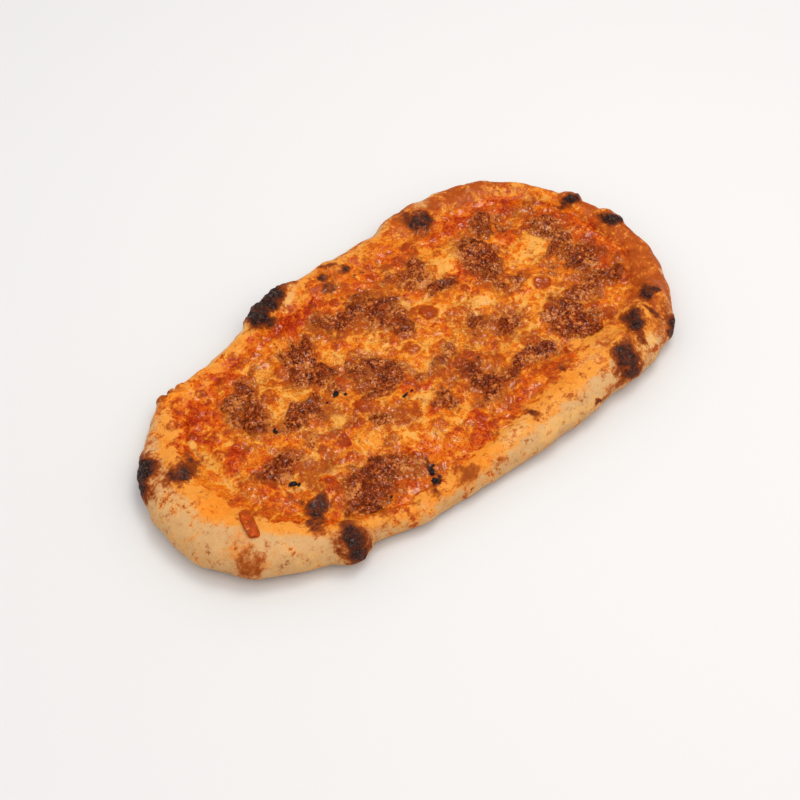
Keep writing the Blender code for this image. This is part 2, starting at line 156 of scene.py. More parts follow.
# Patches of colour: x, y, length, width, turn in degrees, strength.
# Dough that the oven charred black
CHARRED = (
    (-27, 83, 30, 13, 14, 1.0), (-42, 75, 15, 14, 60, 1.0), (-39, 69, 12, 8, 70, 0.75),
    (-149, 26, 30, 10, 44, 1.0), (-142, 32, 11, 9, 20, 0.9), (-132, 18, 17, 13, 10, 0.70),
    (-94, -65, 14, 13, 0, 0.84), (-95, -40, 13, 12, 10, 0.82), (-100, -46, 11, 10, 20, 0.62),
    (-103, -52, 7, 6, 0, 0.52), (-42, -67, 6, 4, 30, 1.0), (-39, -61, 6, 3, 50, 1.0),
    (-37, -57, 9, 4, 60, 0.6), (-46, -71, 6, 4, 50, 0.5), (23, -72, 5, 5, 0, 0.62),
    (57, -60, 5, 5, 30, 0.62), (53, -83, 5, 4, 0, 0.78), (87, -73, 20, 12, 50, 0.85),
    (79, -79, 16, 8, 20, 0.82), (110, -58, 18, 11, 55, 0.80), (107, -64, 13, 10, 70, 0.80),
    (102, -71, 12, 6, 60, 0.56), (128, -51, 11, 7, 10, 0.80), (121, -62, 12, 4, 80, 0.60),
    (123, -72, 14, 7, 55, 0.84), (117, -78, 9, 4, 30, 0.70), (73, 73, 18, 14, 70, 0.84),
    (70, 81, 9, 8, 40, 0.55), (6, 73, 8, 5, 20, 0.60), (17, 72, 5, 11, -10, 0.66), (20, 64, 4, 3, 0, 0.5),
    (12, 80, 8, 3, -10, 0.55), (2, 65, 9, 7, 0, 0.55), (150, 27, 10, 8, 20, 0.95),
    (144, 25, 8, 6, 0, 0.6), (157, 1, 15, 8, -48, 1.0), (-90, 66.5, 14, 2.5, 6, 0.6),
)

# Dough and cheese that browned
BROWNED = (
    (-27, 83, 36, 16, 16, 0.5), (-143, 26, 30, 16, 52, 0.6), (-131, 18, 22, 16, 0, 0.85),
    (-124, 15, 14, 9, -20, 0.6), (-94, -64, 19, 17, 0, 0.75), (-97, -42, 22, 15, 60, 0.6),
    (-103, -53, 10, 9, 0, 0.9), (-138, -43, 16, 15, 60, 0.95), (-134, -48, 12, 9, 0, 0.35),
    (-134, -34, 10, 14, 0, 0.5), (-129, 40, 8, 26, 35, 0.4), (-141, 12, 10, 12, 0, 0.55),
    (-29, -77, 13, 10, 15, 1.05), (-8, -77, 6, 5, 0, 0.9), (-14, -81, 7, 4, 60, 0.4),
    (-13, -75, 9, 5, 0, 0.35), (-78, -69, 7, 6, 0, 0.6), (-70, -73, 8, 4, 0, 0.4),
    (-88, -72, 8, 6, 0, 0.5), (23, -72, 8, 7, 0, 0.6), (57, -60, 8, 7, 0, 0.5),
    (45, -60, 60, 13, 0, 0.42), (90, -60, 28, 13, 40, 0.42), (31, -69, 14, 8, -30, 0.33),
    (46, -70, 9, 10, 0, 0.33), (65, -84, 28, 5, 0, 0.85), (84, -76, 32, 14, 35, 0.7),
    (106, -64, 26, 18, 62, 0.75), (96, -74, 24, 9, 30, 0.6), (128, -60, 14, 28, -15, 0.7),
    (122, -74, 24, 12, 50, 0.8), (138, -50, 10, 8, 0, 0.5), (150, -33, 12, 28, -12, 0.5),
    (142, -32, 14, 12, 0, 0.35), (136, -52, 16, 14, 0, 0.6), (114, -70, 20, 14, 55, 0.7),
    (95, -70, 26, 18, 55, 0.6), (149, -24, 6, 7, 0, 0.7), (71, 75, 30, 20, 62, 0.85),
    (112, 70, 10, 24, 12, 0.55), (118, 75, 14, 7, -40, 0.6), (127, 67, 16, 7, -38, 0.7),
    (96, 75, 26, 16, 0, 0.3), (31, 81, 9, 5, 0, 0.5), (43, 81, 10, 8, 0, 0.6), (37, 73, 5, 6, 0, 0.4),
    (12, 75, 22, 12, 0, 0.7), (4, 66, 14, 10, 0, 0.75), (148, 46, 6, 14, 15, 0.5),
    (149, 27, 18, 14, 20, 0.7), (153, 3, 16, 14, -40, 0.5), (-111, 63, 12, 5, 10, 1.1),
    (-103, 64.5, 8, 4, 0, 0.95), (-90, 66, 16, 3, 6, 0.7), (-68, 71, 6, 4, 10, 0.7),
    (-120, 47, 4, 5, 20, 0.9), (-130, 46, 3, 3, 0, 0.6), (-143, 11, 4, 3, 0, 0.7),
    (-141, 6, 5, 7, 0, 0.4), (-45, -68, 12, 8, 55, 0.8), (-127, 2, 3, 3, 0, 0.4),
)

# Dough left pale where nothing ran over it. The first row, on the fold ridge north of the big char, is partly
# pale dough and partly a painted highlight along the ridge
PALE = (
    (-26, 72, 34, 6, 24, 1.0), (-60, 75, 22, 8, 8, 0.8), (10, -72, 30, 8, 0, 0.6),
    (-118, -62, 20, 8, -28, 0.6), (83, 84, 14, 8, 0, 0.7), (-40, 80, 20, 4, 20, 0.4),
    (30, -82, 60, 8, 2, 0.8), (95, -78, 30, 7, 8, 0.9), (-8, 82, 14, 6, 0, 0.3),
    (40, -62, 36, 12, -10, 0.35), (75, -62, 24, 10, 0, 0.35),
)

# Bright orange, where oil ran over dough or thin cheese
OILED = (
    (-131, -8, 20, 26, 0, 0.8), (-121, -20, 12, 20, -30, 0.6), (-112, 57, 26, 10, 12, 0.9),
    (-90, 62, 30, 8, 5, 0.6), (-127, 42, 8, 30, 35, 0.6), (-8, 78, 24, 10, 0, 0.7),
    (55, 78, 26, 10, 10, 0.7), (95, 67, 24, 12, -10, 0.8), (102, 57, 14, 9, 0, 0.7),
    (141, 46, 12, 22, 15, 0.9), (152, 16, 12, 16, 0, 0.8), (149, -14, 12, 20, 0, 0.6),
    (134, -43, 22, 9, 15, 0.8), (100, -55, 20, 16, 40, 0.7), (45, -60, 60, 16, 0, 0.75),
    (-20, -73, 44, 14, 0, 0.75), (-54, -76, 46, 12, -4, 0.85), (-134, -33, 12, 20, 0, 0.6),
    (-92, -48, 10, 16, 0, 0.8), (-112, -32, 20, 22, 0, 0.5),
)

# Tomato that shows through
SAUCE = (
    (-24, 59, 34, 15, 14, 1.45), (-40, 62, 18, 9, 20, 1.1), (-108, -44, 26, 10, -20, 0.5),
    (-48, 58, 14, 12, 0, 0.7), (-75, 57, 36, 12, 0, 0.62), (-80, 46, 26, 10, 0, 0.55),
    (-107, 42, 24, 20, 50, 0.75), (-121, 31, 5, 13, -20, 1.1), (-112, 30, 5, 15, 5, 1.1),
    (-117, 41, 9, 12, -30, 0.8), (-104, 28, 8, 12, 0, 0.5), (-109, 10, 9, 17, -35, 1.1),
    (-101, -5, 12, 9, -5, 0.9), (-119, -12, 8, 7, 0, 0.7), (-130, 9, 4, 4, 0, 0.8),
    (-106, -22, 14, 8, -20, 0.7), (-103, -32, 24, 12, -25, 0.6), (-112, -38, 10, 6, 0, 0.6),
    (-85, -36, 11, 8, 0, 0.9), (-82, -44, 12, 8, 0, 0.75), (-90, -50, 12, 6, 0, 0.5),
    (-66, -68, 16, 6, -10, 0.7), (-50, -62, 18, 8, -30, 0.5), (-55, -16, 14, 10, 0, 0.75),
    (-40, -11, 12, 9, -10, 0.75), (-38, 9, 12, 8, 0, 0.7), (-18, 30, 14, 8, 0, 0.6),
    (-38, -45, 12, 8, 0, 0.75), (-12, -15, 14, 9, 0, 0.7), (-13, -34, 12, 7, 0, 0.7),
    (0, -62, 28, 13, -8, 0.9), (-18, -64, 20, 6, 0, 0.55), (15, -57, 44, 9, 5, 0.62),
    (30, -56, 12, 8, 0, 0.8), (-2, -52, 12, 8, 0, 0.6), (63, -53, 14, 9, -30, 0.75),
    (88, -50, 22, 6, 22, 1.0), (52, -56, 6, 4, -20, 1.1), (104, -52, 4, 4, 0, 1.0),
    (66, -50, 8, 5, 0, 0.8), (24, -19, 12, 8, 0, 0.8), (40, -20, 9, 7, 0, 0.6), (105, -38, 26, 6, 8, 0.7),
    (133, -36, 16, 5, 25, 0.75), (139, 0, 18, 22, 0, 0.9), (134, -14, 16, 16, 0, 0.75),
    (136, 14, 14, 18, 0, 0.85), (143, -18, 12, 20, 0, 0.5), (128, 28, 16, 8, 10, 0.75),
    (120, 36, 16, 10, 0, 0.5), (103, 33, 12, 10, 0, 0.7), (90, 57, 36, 9, -6, 0.8),
    (117, 52, 24, 16, 20, 0.65), (132, 54, 14, 12, 0, 0.6), (40, 61, 60, 12, 0, 0.62),
    (14, 57, 24, 12, 0, 0.62), (62, 26, 14, 10, 0, 0.65), (35, 37, 8, 8, 0, 0.8), (74, 66, 16, 8, 0, 0.4),
    (60, 16, 12, 7, 0, 0.5),
)

# Thick pale cheese
CREAMY = (
    (-54, -27, 17, 13, -10, 1.0), (-60, -6, 20, 9, 10, 0.8), (-62, 22, 12, 18, 0, 0.9),
    (-64, 33, 6, 18, 0, 0.8), (-72, 19, 16, 9, 0, 0.8), (-25, 24, 18, 9, -20, 0.95),
    (-8, 17, 12, 9, 0, 0.9), (0, 24, 10, 12, 0, 0.7), (0, 10, 12, 6, 0, 0.5), (0, -4, 18, 9, 0, 0.7),
    (10, 2, 10, 8, 0, 0.5), (30, 27, 26, 8, -5, 0.9), (40, 33, 8, 12, -30, 0.8),
    (57, 36, 14, 9, -30, 0.9), (66, 40, 20, 12, 5, 0.75), (60, 49, 20, 9, 0, 0.4),
    (45, 12, 24, 8, 0, 0.5), (60, 5, 22, 12, 0, 0.75), (38, 2, 12, 8, 0, 0.5), (18, -5, 14, 6, 0, 0.6),
    (33, -8, 12, 10, 0, 0.5), (103, 16, 20, 16, 10, 1.0), (90, 12, 12, 7, 0, 0.8),
    (92, 37, 12, 8, 0, 0.8), (116, 37, 10, 5, 20, 0.6), (104, 28, 14, 5, 25, 0.7),
    (70, -10, 16, 12, 0, 0.8), (88, -18, 20, 7, 0, 0.8), (55, -26, 30, 6, 0, 1.0),
    (64, -36, 10, 14, 20, 0.9), (45, -32, 9, 12, 0, 0.7), (105, -13, 16, 7, 0, 0.6),
    (-15, -24, 24, 8, 8, 0.9), (-25, -14, 14, 6, 0, 0.5), (-33, -28, 10, 9, 0, 0.7),
    (-76, -34, 14, 6, -10, 0.9), (-78, -14, 12, 7, 0, 0.6), (-92, -27, 18, 6, -20, 0.8),
    (-98, -19, 12, 5, 0, 0.7), (-84, -58, 8, 8, 0, 0.7), (-60, -47, 8, 4, 0, 0.3),
    (-30, -38, 22, 10, 0, 0.7), (-8, -43, 16, 8, 0, 0.6), (-15, 12, 10, 5, 0, 0.5),
    (-100, 30, 6, 9, 30, 0.5), (-50, 55, 10, 6, 0, 0.5), (98, -43, 24, 6, 15, 0.6),
    (118, -44, 14, 6, 0, 0.5), (32, -13, 8, 7, 0, 0.5), (138, 40, 8, 8, 0, 0.4),
    (110, -40, 12, 6, 0, 0.5), (-97, 10, 7, 16, 0, 0.5), (-111, -4, 10, 9, 0, 0.8),
    (-117, 23, 7, 14, 0, 1.0), (-122, 12, 16, 12, 0, 0.9), (-120, 0, 12, 14, 0, 0.8),
    (-104, 20, 6, 10, 20, 0.7), (-96, 57, 14, 5, 10, 0.7), (-68, 52, 14, 7, 0, 0.7),
    (-84, 60, 10, 4, 0, 0.6), (-98, 42, 8, 8, 0, 0.6), (-60, 62, 12, 5, 0, 0.7),
    (-118, -30, 14, 10, 0, 0.6), (-102, -42, 10, 6, 0, 0.7), (-92, -56, 10, 7, 0, 0.8),
    (76, 22, 8, 10, 0, 0.6),
)

# Cheese that toasted to a round reddish-brown bubble: x, y, width, strength
TOASTED = (
    (57, -31, 13, 0.8), (30, 17, 10, 0.9), (6, 5, 10, 0.85), (12, -12, 7, 0.9), (26, -19, 6, 0.8),
    (36, -32, 8, 0.9), (-84, -7, 9, 0.45), (-70, 27, 10, 0.7), (-20, -30, 7, 0.6), (35, 38, 8, 0.9),
    (57, 17, 6, 0.7), (91, -7, 11, 0.95), (81, -25, 9, 0.7), (-17, -43, 10, 0.6), (-36, -10, 13, 0.8),
    (-23, 20, 6, 0.5), (-60, -8, 5, 0.5), (8, -33, 8, 0.5), (104, -12, 6, 0.5), (92, 14, 6, 0.5),
    (93, 25, 9, 0.7), (82, 44, 5, 0.5), (-95, 52, 7, 0.8), (-67, 62, 8, 0.6), (64, 17, 5, 0.5),
    (-112, 14, 7, 0.5), (45, 5, 6, 0.5), (25, 7, 5, 0.5), (-45, -16, 6, 0.6), (123, -25, 7, 0.5),
    (-28, -30, 5, 0.5), (-84, -55, 7, 0.5), (100, -48, 7, 0.4),
)

# Mince. First the clumps that are solids, then what joins them
MINCE = (
    (-84, 37, 26, 12, -6, 0.9), (-88, 20, 22, 12, 68, 1.0), (-67, 8, 26, 13, 4, 0.9),
    (-41, 40, 21, 18, 80, 1.0), (-44, 23, 24, 20, 0, 1.0), (-26, 8, 27, 13, 0, 0.8),
    (-8, 46, 34, 14, 4, 1.0), (16, 36, 27, 14, -12, 1.0), (14, 19, 20, 13, 80, 0.95),
    (46, 46, 23, 15, 76, 1.0), (49, 26, 19, 11, 0, 0.95), (78, 31, 28, 16, 72, 1.0),
    (96, 47, 26, 10, 22, 0.9), (73, 12, 16, 10, 80, 0.9), (126, 25, 24, 13, -52, 0.8),
    (118, 7, 30, 12, 6, 0.85), (82, 2, 19, 10, 10, 0.75), (46, -5, 18, 12, 60, 0.85),
    (15, -9, 19, 10, 10, 0.8), (58, -17, 23, 9, 4, 0.9), (20, -28, 20, 13, 76, 1.0),
    (20, -44, 30, 10, 8, 1.0), (48, -42, 30, 10, 0, 1.0), (84, -41, 26, 19, 62, 1.0),
    (97, -27, 28, 11, 10, 0.8), (128, -30, 21, 16, 22, 1.0), (122, -9, 21, 13, 32, 1.0),
    (-97, -13, 28, 9, -4, 0.95), (-20, -6, 32, 12, -8, 0.9), (-61, -42, 28, 17, 4, 1.0),
    (-68, -57, 29, 16, -8, 1.0), (-43, -54, 18, 16, 42, 0.65), (-5, -31, 18, 10, 80, 0.85),
    (-38, -22, 17, 10, 0, 0.8), (-62, 13, 18, 10, 0, 0.5), (-50, 36, 14, 16, 0, 0.6),
    (-29, 38, 16, 12, 0, 0.55), (-44, 7, 10, 10, 0, 0.7), (-15, 10, 16, 10, 0, 0.55),
    (-92, -5, 14, 12, 0, 0.6), (-74, -9, 8, 12, 0, 0.6), (-84, -21, 14, 12, 0, 0.5),
    (-68, -24, 12, 12, 0, 0.5), (-50, -37, 18, 12, 0, 0.6), (-40, -36, 12, 14, 0, 0.5),
    (8, -22, 14, 9, 0, 0.5), (85, -30, 20, 9, 0, 0.6), (111, -20, 18, 10, 0, 0.5),
    (104, -3, 22, 10, 0, 0.55), (35, 50, 14, 10, 0, 0.6), (108, 42, 14, 12, -20, 0.7),
    (120, 44, 14, 10, 0, 0.5), (131, 41, 10, 10, 0, 0.45), (92, 27, 12, 8, 0, 0.55),
    (111, 29, 12, 9, 0, 0.5), (-70, 40, 12, 12, 0, 0.55), (-66, 46, 10, 7, 0, 0.6),
    (-62, 56, 10, 6, 0, 0.5), (-88, 51, 5, 4, 0, 0.5), (5, 60, 8, 6, 0, 0.5), (35, -25, 12, 8, 0, 0.5),
    (45, -22, 8, 6, 0, 0.35), (62, -44, 14, 8, 0, 0.5), (-3, -8, 12, 12, 0, 0.6), (0, 36, 14, 12, 0, 0.5),
    (30, -2, 9, 8, 0, 0.4), (-78, -50, 10, 8, 0, 0.5), (-55, -2, 8, 8, 0, 0.35),
    (-17, 3, 34, 26, -20, 0.85), (-46, 34, 24, 34, 0, 0.85), (-63, -48, 38, 30, -10, 0.9),
    (-6, 46, 40, 18, 0, 0.8), (14, 32, 26, 34, 0, 0.8), (14, 22, 14, 22, 0, 0.8),
    (44, 44, 24, 26, -20, 0.75), (49, 26, 22, 14, 0, 0.75), (78, 28, 22, 42, -12, 0.85),
    (95, 48, 30, 14, 15, 0.75), (122, 16, 26, 46, 10, 0.72), (124, -8, 26, 24, 0, 0.8),
    (114, -26, 46, 24, 8, 0.72), (85, -38, 28, 34, 10, 0.9), (20, -36, 22, 30, 0, 0.8),
    (46, -42, 38, 14, 0, 0.85), (-89, 28, 22, 36, 10, 0.72), (-66, 8, 32, 18, 0, 0.8),
    (-97, -12, 32, 14, 0, 0.75), (-52, -12, 40, 14, -10, 0.55), (-36, -22, 26, 18, 0, 0.6),
    (8, -10, 34, 14, 5, 0.6), (48, -8, 26, 20, 20, 0.6), (58, -17, 30, 12, 0, 0.65),
    (82, 2, 28, 12, 0, 0.6), (-6, -30, 14, 20, 10, 0.6), (-80, -28, 24, 16, 0, 0.55),
    (-44, -56, 14, 20, 40, 0.45), (-28, 20, 30, 12, 0, 0.4),
)

# Burnt crumbs: x, y, length, width, turn in degrees
BURNT_CRUMBS = (
    (-95, -23, 4.5, 3.0, -20), (-93, -25, 2.4, 1.8, 40), (-82, 7.5, 3.2, 2.4, 70),
    (123, -14, 3.8, 3.0, 30), (126, -11, 2.2, 1.2, 50), (-44, 6, 4.0, 3.0, 20), (-40, 3, 2.0, 1.6, 0),
    (-18, -18, 4.6, 1.6, 10), (-13, -17.5, 2.0, 1.4, 30), (-64, -55, 2.0, 1.5, 0),
    (-64, -60, 1.6, 1.4, 0), (-42.5, -67, 4.0, 3.4, 20), (-39.5, -62, 4.6, 2.6, 50),
    (-37, -60, 2.2, 1.6, 0), (-67, -48, 1.2, 1.0, 0), (-51, 4.5, 1.4, 1.2, 0), (28, -24, 1.4, 1.2, 0),
)

# Colours that dough and topping share, so that no seam shows, and those that the fire gives to both
TOP_COLOURS = (
    "Pale", "Golden", "Oiled", "Ruddy", "Crisp", "Cream Dough", "Freckle",
    "Cream", "Gold", "Orange", "Ember", "Sauce", "Deep Sauce", "Meat Juice", "Toast",
)
FIRE_COLOURS = ("Amber", "Brown", "Dark Brown", "Black", "Ash")
# What is stored on the surfaces for the materials to read
FIELDS = (
    "melted", "creamy", "sauce", "mince", "toasted", "cell", "tone", "pale", "oiled", "browned", "charred",
)

SEED_STEP = 17.3  # how far apart in the noise two seeds are, in lumps
CELL_DRAW = 9.7  # makes the numbers drawn for neighbouring cells differ
STRAYS = ((0.016, 0.0042), (0.006, 0.0022), (0.0025, 0.0010))  # how borders wander: size, reach
NEAR_SEED = 3
MIXED_SEED = 29
MIXED = 1.9  # how much more than dough the topping's patches ran into one another
SPOT_CELL = 0.0076  # small toasted bubbles lie about this far apart
SPOT_RADII = (0.02, 0.50)  # the least and the most, as shares of that
SPOT_STRENGTH = 0.62
RING_STRENGTH = 0.90  # how creamy the cheese is just round a bubble
RING_AT, RING_WIDTH = 1.16, 0.15  # where that ring runs, as shares of the bubble's half width
CELL_SIZE = 0.0086  # the bubbles that melted cheese sets in, wall to wall
EDGE_LUMPS = ((0.020, 0.8, 12), (0.007, 0.5, 13))  # how ragged the topping's border is: size, share, seed
CELL_SEEDS = (41, 16)  # for where the cells lie, and for the cells themselves
SPOT_SEEDS = (47, 18)
SPOT_STRAY = 0.35  # how far they are out of round, as a share of what dough's patches are
SHEET_REACH = (0.0010, 0.48)  # the topping runs this far up the rim, and up to this share of its width more
MELTED_OVER = (-0.0010, 0.0105)  # the stretch, in from the topping's border, over which cheese comes in
STAIN_OVER = (-0.005, 0.006)  # the stretch over which the oil's stain comes in
RUDDY_OVER = (-0.012, 0.002)  # the stretch, up the outer face, over which the redness comes in
OILED_OVER = (-0.002, 0.004)  # and over which the oil does
FIRED_OVER = (0.002, 0.007)  # the height over which browning and charring come in
UNDERSIDE_UP_TO = 0.003
SHEET_DIP = 0.0009  # how far the topping's border is sunk in the dough
SHEET_RISE = 0.0003  # how far it stands above the dough a little further in
SHEET_RISE_OVER = (0.0, 0.0055)  # the stretch from that dip to that rise
SHEET_EVEN_OVER = (0.006, 0.012)  # the stretch from that rise to the topping's own level
SHEET_RELIEF_OVER = (0.001, 0.007)  # the stretch over which its relief comes in
DOUGH_DIP = 0.0018  # how far the dough sinks under the topping
DOUGH_DIP_OVER = 0.003  # and over what stretch

# Relief: size of the lumps, how far they stand up and down, and seed
DOUGH_RELIEF = ((0.0075, 0.00060, 1), (0.0026, 0.00026, 2))
CRACKS = (0.0042, 0.0009, 3)  # where the dough burnt
CRUSTY = ((0.0018, 0.0004, 4),)
MELTED_RELIEF = ((0.0090, 0.0009, 6), (0.0042, 0.0003, 7))
MELTED_GRAINS = (0.0034, 0.0008, 8)
MELTED_FINE = ((0.0020, 0.00010, 9),)
MINCE_RELIEF = ((0.0065, 0.0012, 23),)
STRIP_RELIEF = ((0.005, 0.0009, 32), (0.002, 0.0004, 33))
BUBBLE_RISE = 0.0008  # how far a bubble of cheese stands above the walls round it
TOASTED_RISE = 0.0009  # how much further one that toasted swelled
CHUNK_RISE = 0.0009  # how far pieces of tomato stand up

# What covers the bread: the patches, how soft their borders are, and whether they ran into one another
PATCHES = {
    "charred": (CHARRED, 0.65, False),
    "browned": (BROWNED, 0.75, False),
    "pale": (PALE, 0.60, False),
    "oiled": (OILED, 0.60, True),
    "sauce": (SAUCE, 0.45, True),
    "mince": (MINCE, 0.60, True),
    "creamy": (CREAMY, 0.70, True),
}

MINCE_FROM = 0.22  # the clumps' layer begins where mince covers this much
MINCE_EDGE = 0.003  # and no nearer than this to the topping's border
MINCE_BUMP = 0.0007  # how far its bumps of a crumb's size stand up and down
MINCE_FINE_BUMP = 0.0004  # and those half that size
MINCE_SINK = 0.0009  # how far down in the cheese the layer begins
MINCE_GRAINS = ((1.05, 21), (0.50, 22))  # the bumps' sizes as shares of a crumb's width, and their seeds
CLEAR = 0.001  # keeps the flat bottom of one piece off another's
MOST_CRUMBS = 600000.0  # tried on a square metre before the spacing thins them out
CRUMB_SHAPES = 6
CRUMB_FLATNESS = 0.75  # their height, as a share of their width
CRUMB_SIZES = (0.45, 1.10)  # the smallest and the largest, as shares of the mean width
CRUMBS_FROM = 0.30  # crumbs lie where mince covers at least this much
CRUMB_SINK = 0.0006  # how far a crumb's middle is below the clump's surface
TOPPING_FROM = 0.002  # the topping is on top from this far in from its border
BURNT_RISE = 0.0003  # how far a burnt crumb's middle is above the topping
BURNT_SPREAD = 0.85  # its length and width, as shares of the listed ones
BURNT_HEIGHT = 0.50  # and its height, as a share of the lesser one
BURNT_SEED = 5

STRIP_AT = (-0.1280, -0.0318)
STRIP_SIZE = (0.0200, 0.0066, 0.0020)
STRIP_TURN = math.radians(70)
STRIP_CURL = 0.0006
STRIP_SQUARENESS = 2.6  # 2 would be an oval
STRIP_EDGE = (0.004, 0.25, 31)  # how ragged its edge is: size, share, seed
STRIP_PITCH = 0.00030

# Noises of the materials: size, how far up and down, and detail
TOP_NOISES = (
    (0.0200, 0.50, 3.0), (0.0080, 0.45, 3.0), (0.0030, 0.26, 3.0), (0.0011, 0.20, 3.0), (0.0006, 0.16, 1.0),
)
FIRE_NOISES = ((0.0050, 0.30), (0.0024, 0.35), (0.0014, 0.20))
MINCE_NOISES = ((0.0090, 0.50), (0.0032, 0.40), (0.0012, 0.40))
FILM_ROUGHNESS = 0.14
FAINT_SHINE = 0.12  # the specular level of baked and fatty surfaces under their film
MIX_A, MIX_B, MIX_RESULT = 6, 7, 2  # the places of a Mix node's colour sockets

FLOOR_SIZE = 3.0  # from its middle to its edge
ROOM_DULLED = 0.90  # how much of the room mirrored surfaces miss
SENSOR = 36.0  # this and the lens in millimetres, as a camera's are
LENS = 60.3
NEAREST_SEEN = 0.05
SEEN_FROM = (-0.3057, -0.3393, 0.5438)  # where the camera stands, in the coordinates of the lists
VIEW_FROM = (SEEN_FROM[0] - MIDDLE[0], SEEN_FROM[1] - MIDDLE[1], SEEN_FROM[2])
VIEW_FORWARD = (0.4161, 0.4703, -0.7782)
VIEW_RIGHT = (0.7490, -0.6626, 0.0)
# Lamps: name, place, width and power
LIGHTS = (
    ("key", (0.30, 0.06, 0.98), 0.42, 2.3),
    ("second key", (0.12, -0.42, 0.92), 0.80, 1.55),
)


# ---------------------------------------------------------------- form


def smoothstep(low, high, value):
    """0 below the low value, 1 above the high one, and a smooth rise between."""
    t = np.clip((value - low) / (high - low), 0.0, 1.0)
    return t * t * (3.0 - 2.0 * t)


def flat(x, y):
    """Places in plan as points at height nought."""
    return np.column_stack([x, y, np.zeros(len(x))])


def rough(points, size, seed=0):
    """Smooth noise from -1 to 1 at each point, in lumps of about this size."""
    places = points / size + seed * SEED_STEP
    return np.array([noise.noise(place) for place in places.tolist()])


def lumpy(points, rows, start=0.0):
    """Noise in lumps of several sizes at once, added to a starting value."""
    return sum((depth * rough(points, size, seed) for size, depth, seed in rows), start)


def cells(points, size, seed):
    """For the cell of about this size that holds each point: the gaps to its middle and to the next one's,
    and a number from -1 to 1 drawn for the cell."""
    rows = []
    for place in (points / size + seed * SEED_STEP).tolist():
        gaps, middles = noise.voronoi(place)
        rows.append((gaps[0], gaps[1], noise.cell(middles[0] * CELL_DRAW)))
    return np.array(rows).T


def grains(points, size, seed):
    """Rounded bumps packed side by side: how high each point stands on its bump, and a tone for the bump."""
    near, next_near, drawn = cells(points, size, seed)
    return 1.0 - (1.0 - np.clip((next_near - near) * 1.3, 0.0, 1.0)) ** 2, 0.5 + 0.5 * drawn


def spots(points, size, seed):
    """Round spots, at most one in a cell of this size: how far out each point is, 1 at a spot's edge."""
    near, _, drawn = cells(points, size, seed)
    return near / np.maximum(SPOT_RADII[0], SPOT_RADII[1] * drawn)


def closed_spline(rows, per_row):
    """A smooth closed curve through the rows, whose other columns go along with x and y."""
    rows = np.asarray(rows, float)
    before, after, beyond = (np.roll(rows, shift, axis=0) for shift in (1, -1, -2))
    t = (np.arange(per_row) / per_row)[None, :, None]
    a, b, c, d = (row[:, None, :] for row in (before, rows, after, beyond))
    curve = b + 0.5 * t * (c - a + t * (2 * a - 5 * b + 4 * c - d + t * (3 * (b - c) + d - a)))
    return curve.reshape(-1, rows.shape[1])


class Rim:
    """The rim at places spaced evenly round the bread."""

    def __init__(self, count):
        curve = closed_spline(RIM_STATIONS, SAMPLES_PER_STATION)
        curve[:, :5] *= MM
        curve[:, :2] *= np.array((LENGTH, WIDTH)) / np.ptp(curve[:, :2], axis=0)
        ring = np.vstack([curve, curve[:1]])
        run = np.concatenate([[0.0], np.cumsum(np.hypot(*np.diff(ring[:, :2], axis=0).T))])
        places = np.linspace(0.0, run[-1], count, endpoint=False)
        columns = [np.interp(places, run, column) for column in ring.T]
        self.points = np.column_stack(columns[:2])
        self.height, self.width, self.stain_from, self.redness, self.spill = columns[2:]
        along = np.roll(self.points, -1, axis=0) - np.roll(self.points, 1, axis=0)
        self.normals = np.column_stack([along[:, 1], -along[:, 0]]) / np.hypot(*along.T)[:, None]
        self.tree = kdtree.KDTree(count)
        for i, (x, y) in enumerate(self.points):
            self.tree.insert((x, y, 0.0), i)
        self.tree.balance()

    def nearest(self, x, y):
        """How deep inside the rim's outer line each point is, and the number of the rim's place beside it."""
        found = [self.tree.find((px, py, 0.0)) for px, py in zip(x, y)]
        return np.array([gap for _, _, gap in found]), np.array([i for _, i, _ in found])

    def inset(self, depth):
        """The rim's outer line moved inwards."""
        return self.points - self.normals * depth[:, None]


def inner_slope(depth, height, width):
    """The height of the top at a depth in from the rim's outer line, from the crest inwards."""
    crest = CREST_SHARE * width
    share = np.clip((depth - crest) / (width - crest), 0.0, 1.0)
    return TOPPING_LEVEL + (height - TOPPING_LEVEL) * np.cos(0.5 * math.pi * share) ** SLOPE_POWER


def oval_distance(x, y, centre_x, centre_y, length, width, turn):
    """How far each point is from an oval's middle: 1 at its edge."""
    turn = math.radians(turn)
    dx, dy = x - centre_x * MM, y - centre_y * MM
    along = (dx * math.cos(turn) + dy * math.sin(turn)) / (length * MM / 2)
    across = (dy * math.cos(turn) - dx * math.sin(turn)) / (width * MM / 2)
    return np.hypot(along, across)


def oval_share(x, y, *oval):
    """How far inside a swelling each point is: 1 at its middle, 0 from its edge outwards."""
    inside = np.clip(1.0 - (oval_distance(x, y, *oval) / (2 * SPOT_REACH)) ** 2, 0.0, 1.0)
    return inside * inside * (3.0 - 2.0 * inside)


def near_one(share):
    """1 just outside a round spot's edge, 0 away from it."""
    return np.exp(-(((share - RING_AT) / RING_WIDTH) ** 2))


def cover(x, y, rows, softness):
    """How strongly each point is covered by any of these oval patches."""
    most = np.zeros(len(x))
    for *oval, strength in rows:
        share = oval_distance(x, y, *oval)
        most = np.maximum(most, strength * (1.0 - smoothstep(1.0 - softness, 1.0 + softness, share)))
    return most


def swell(points):
    """How far the dough and the cheese stand out from their smooth form at each point."""
    x, y, _ = points.T
    rise = np.zeros(len(points))
    for *spot, height in BLISTERS:
        rise += height * MM * oval_share(x, y, *spot)
    for *spot, depth in PINCHES:
        rise -= depth * MM * oval_share(x, y, *spot)
    for size, depth in LUMPS:
        rise += depth * rough(points, size)
    return rise


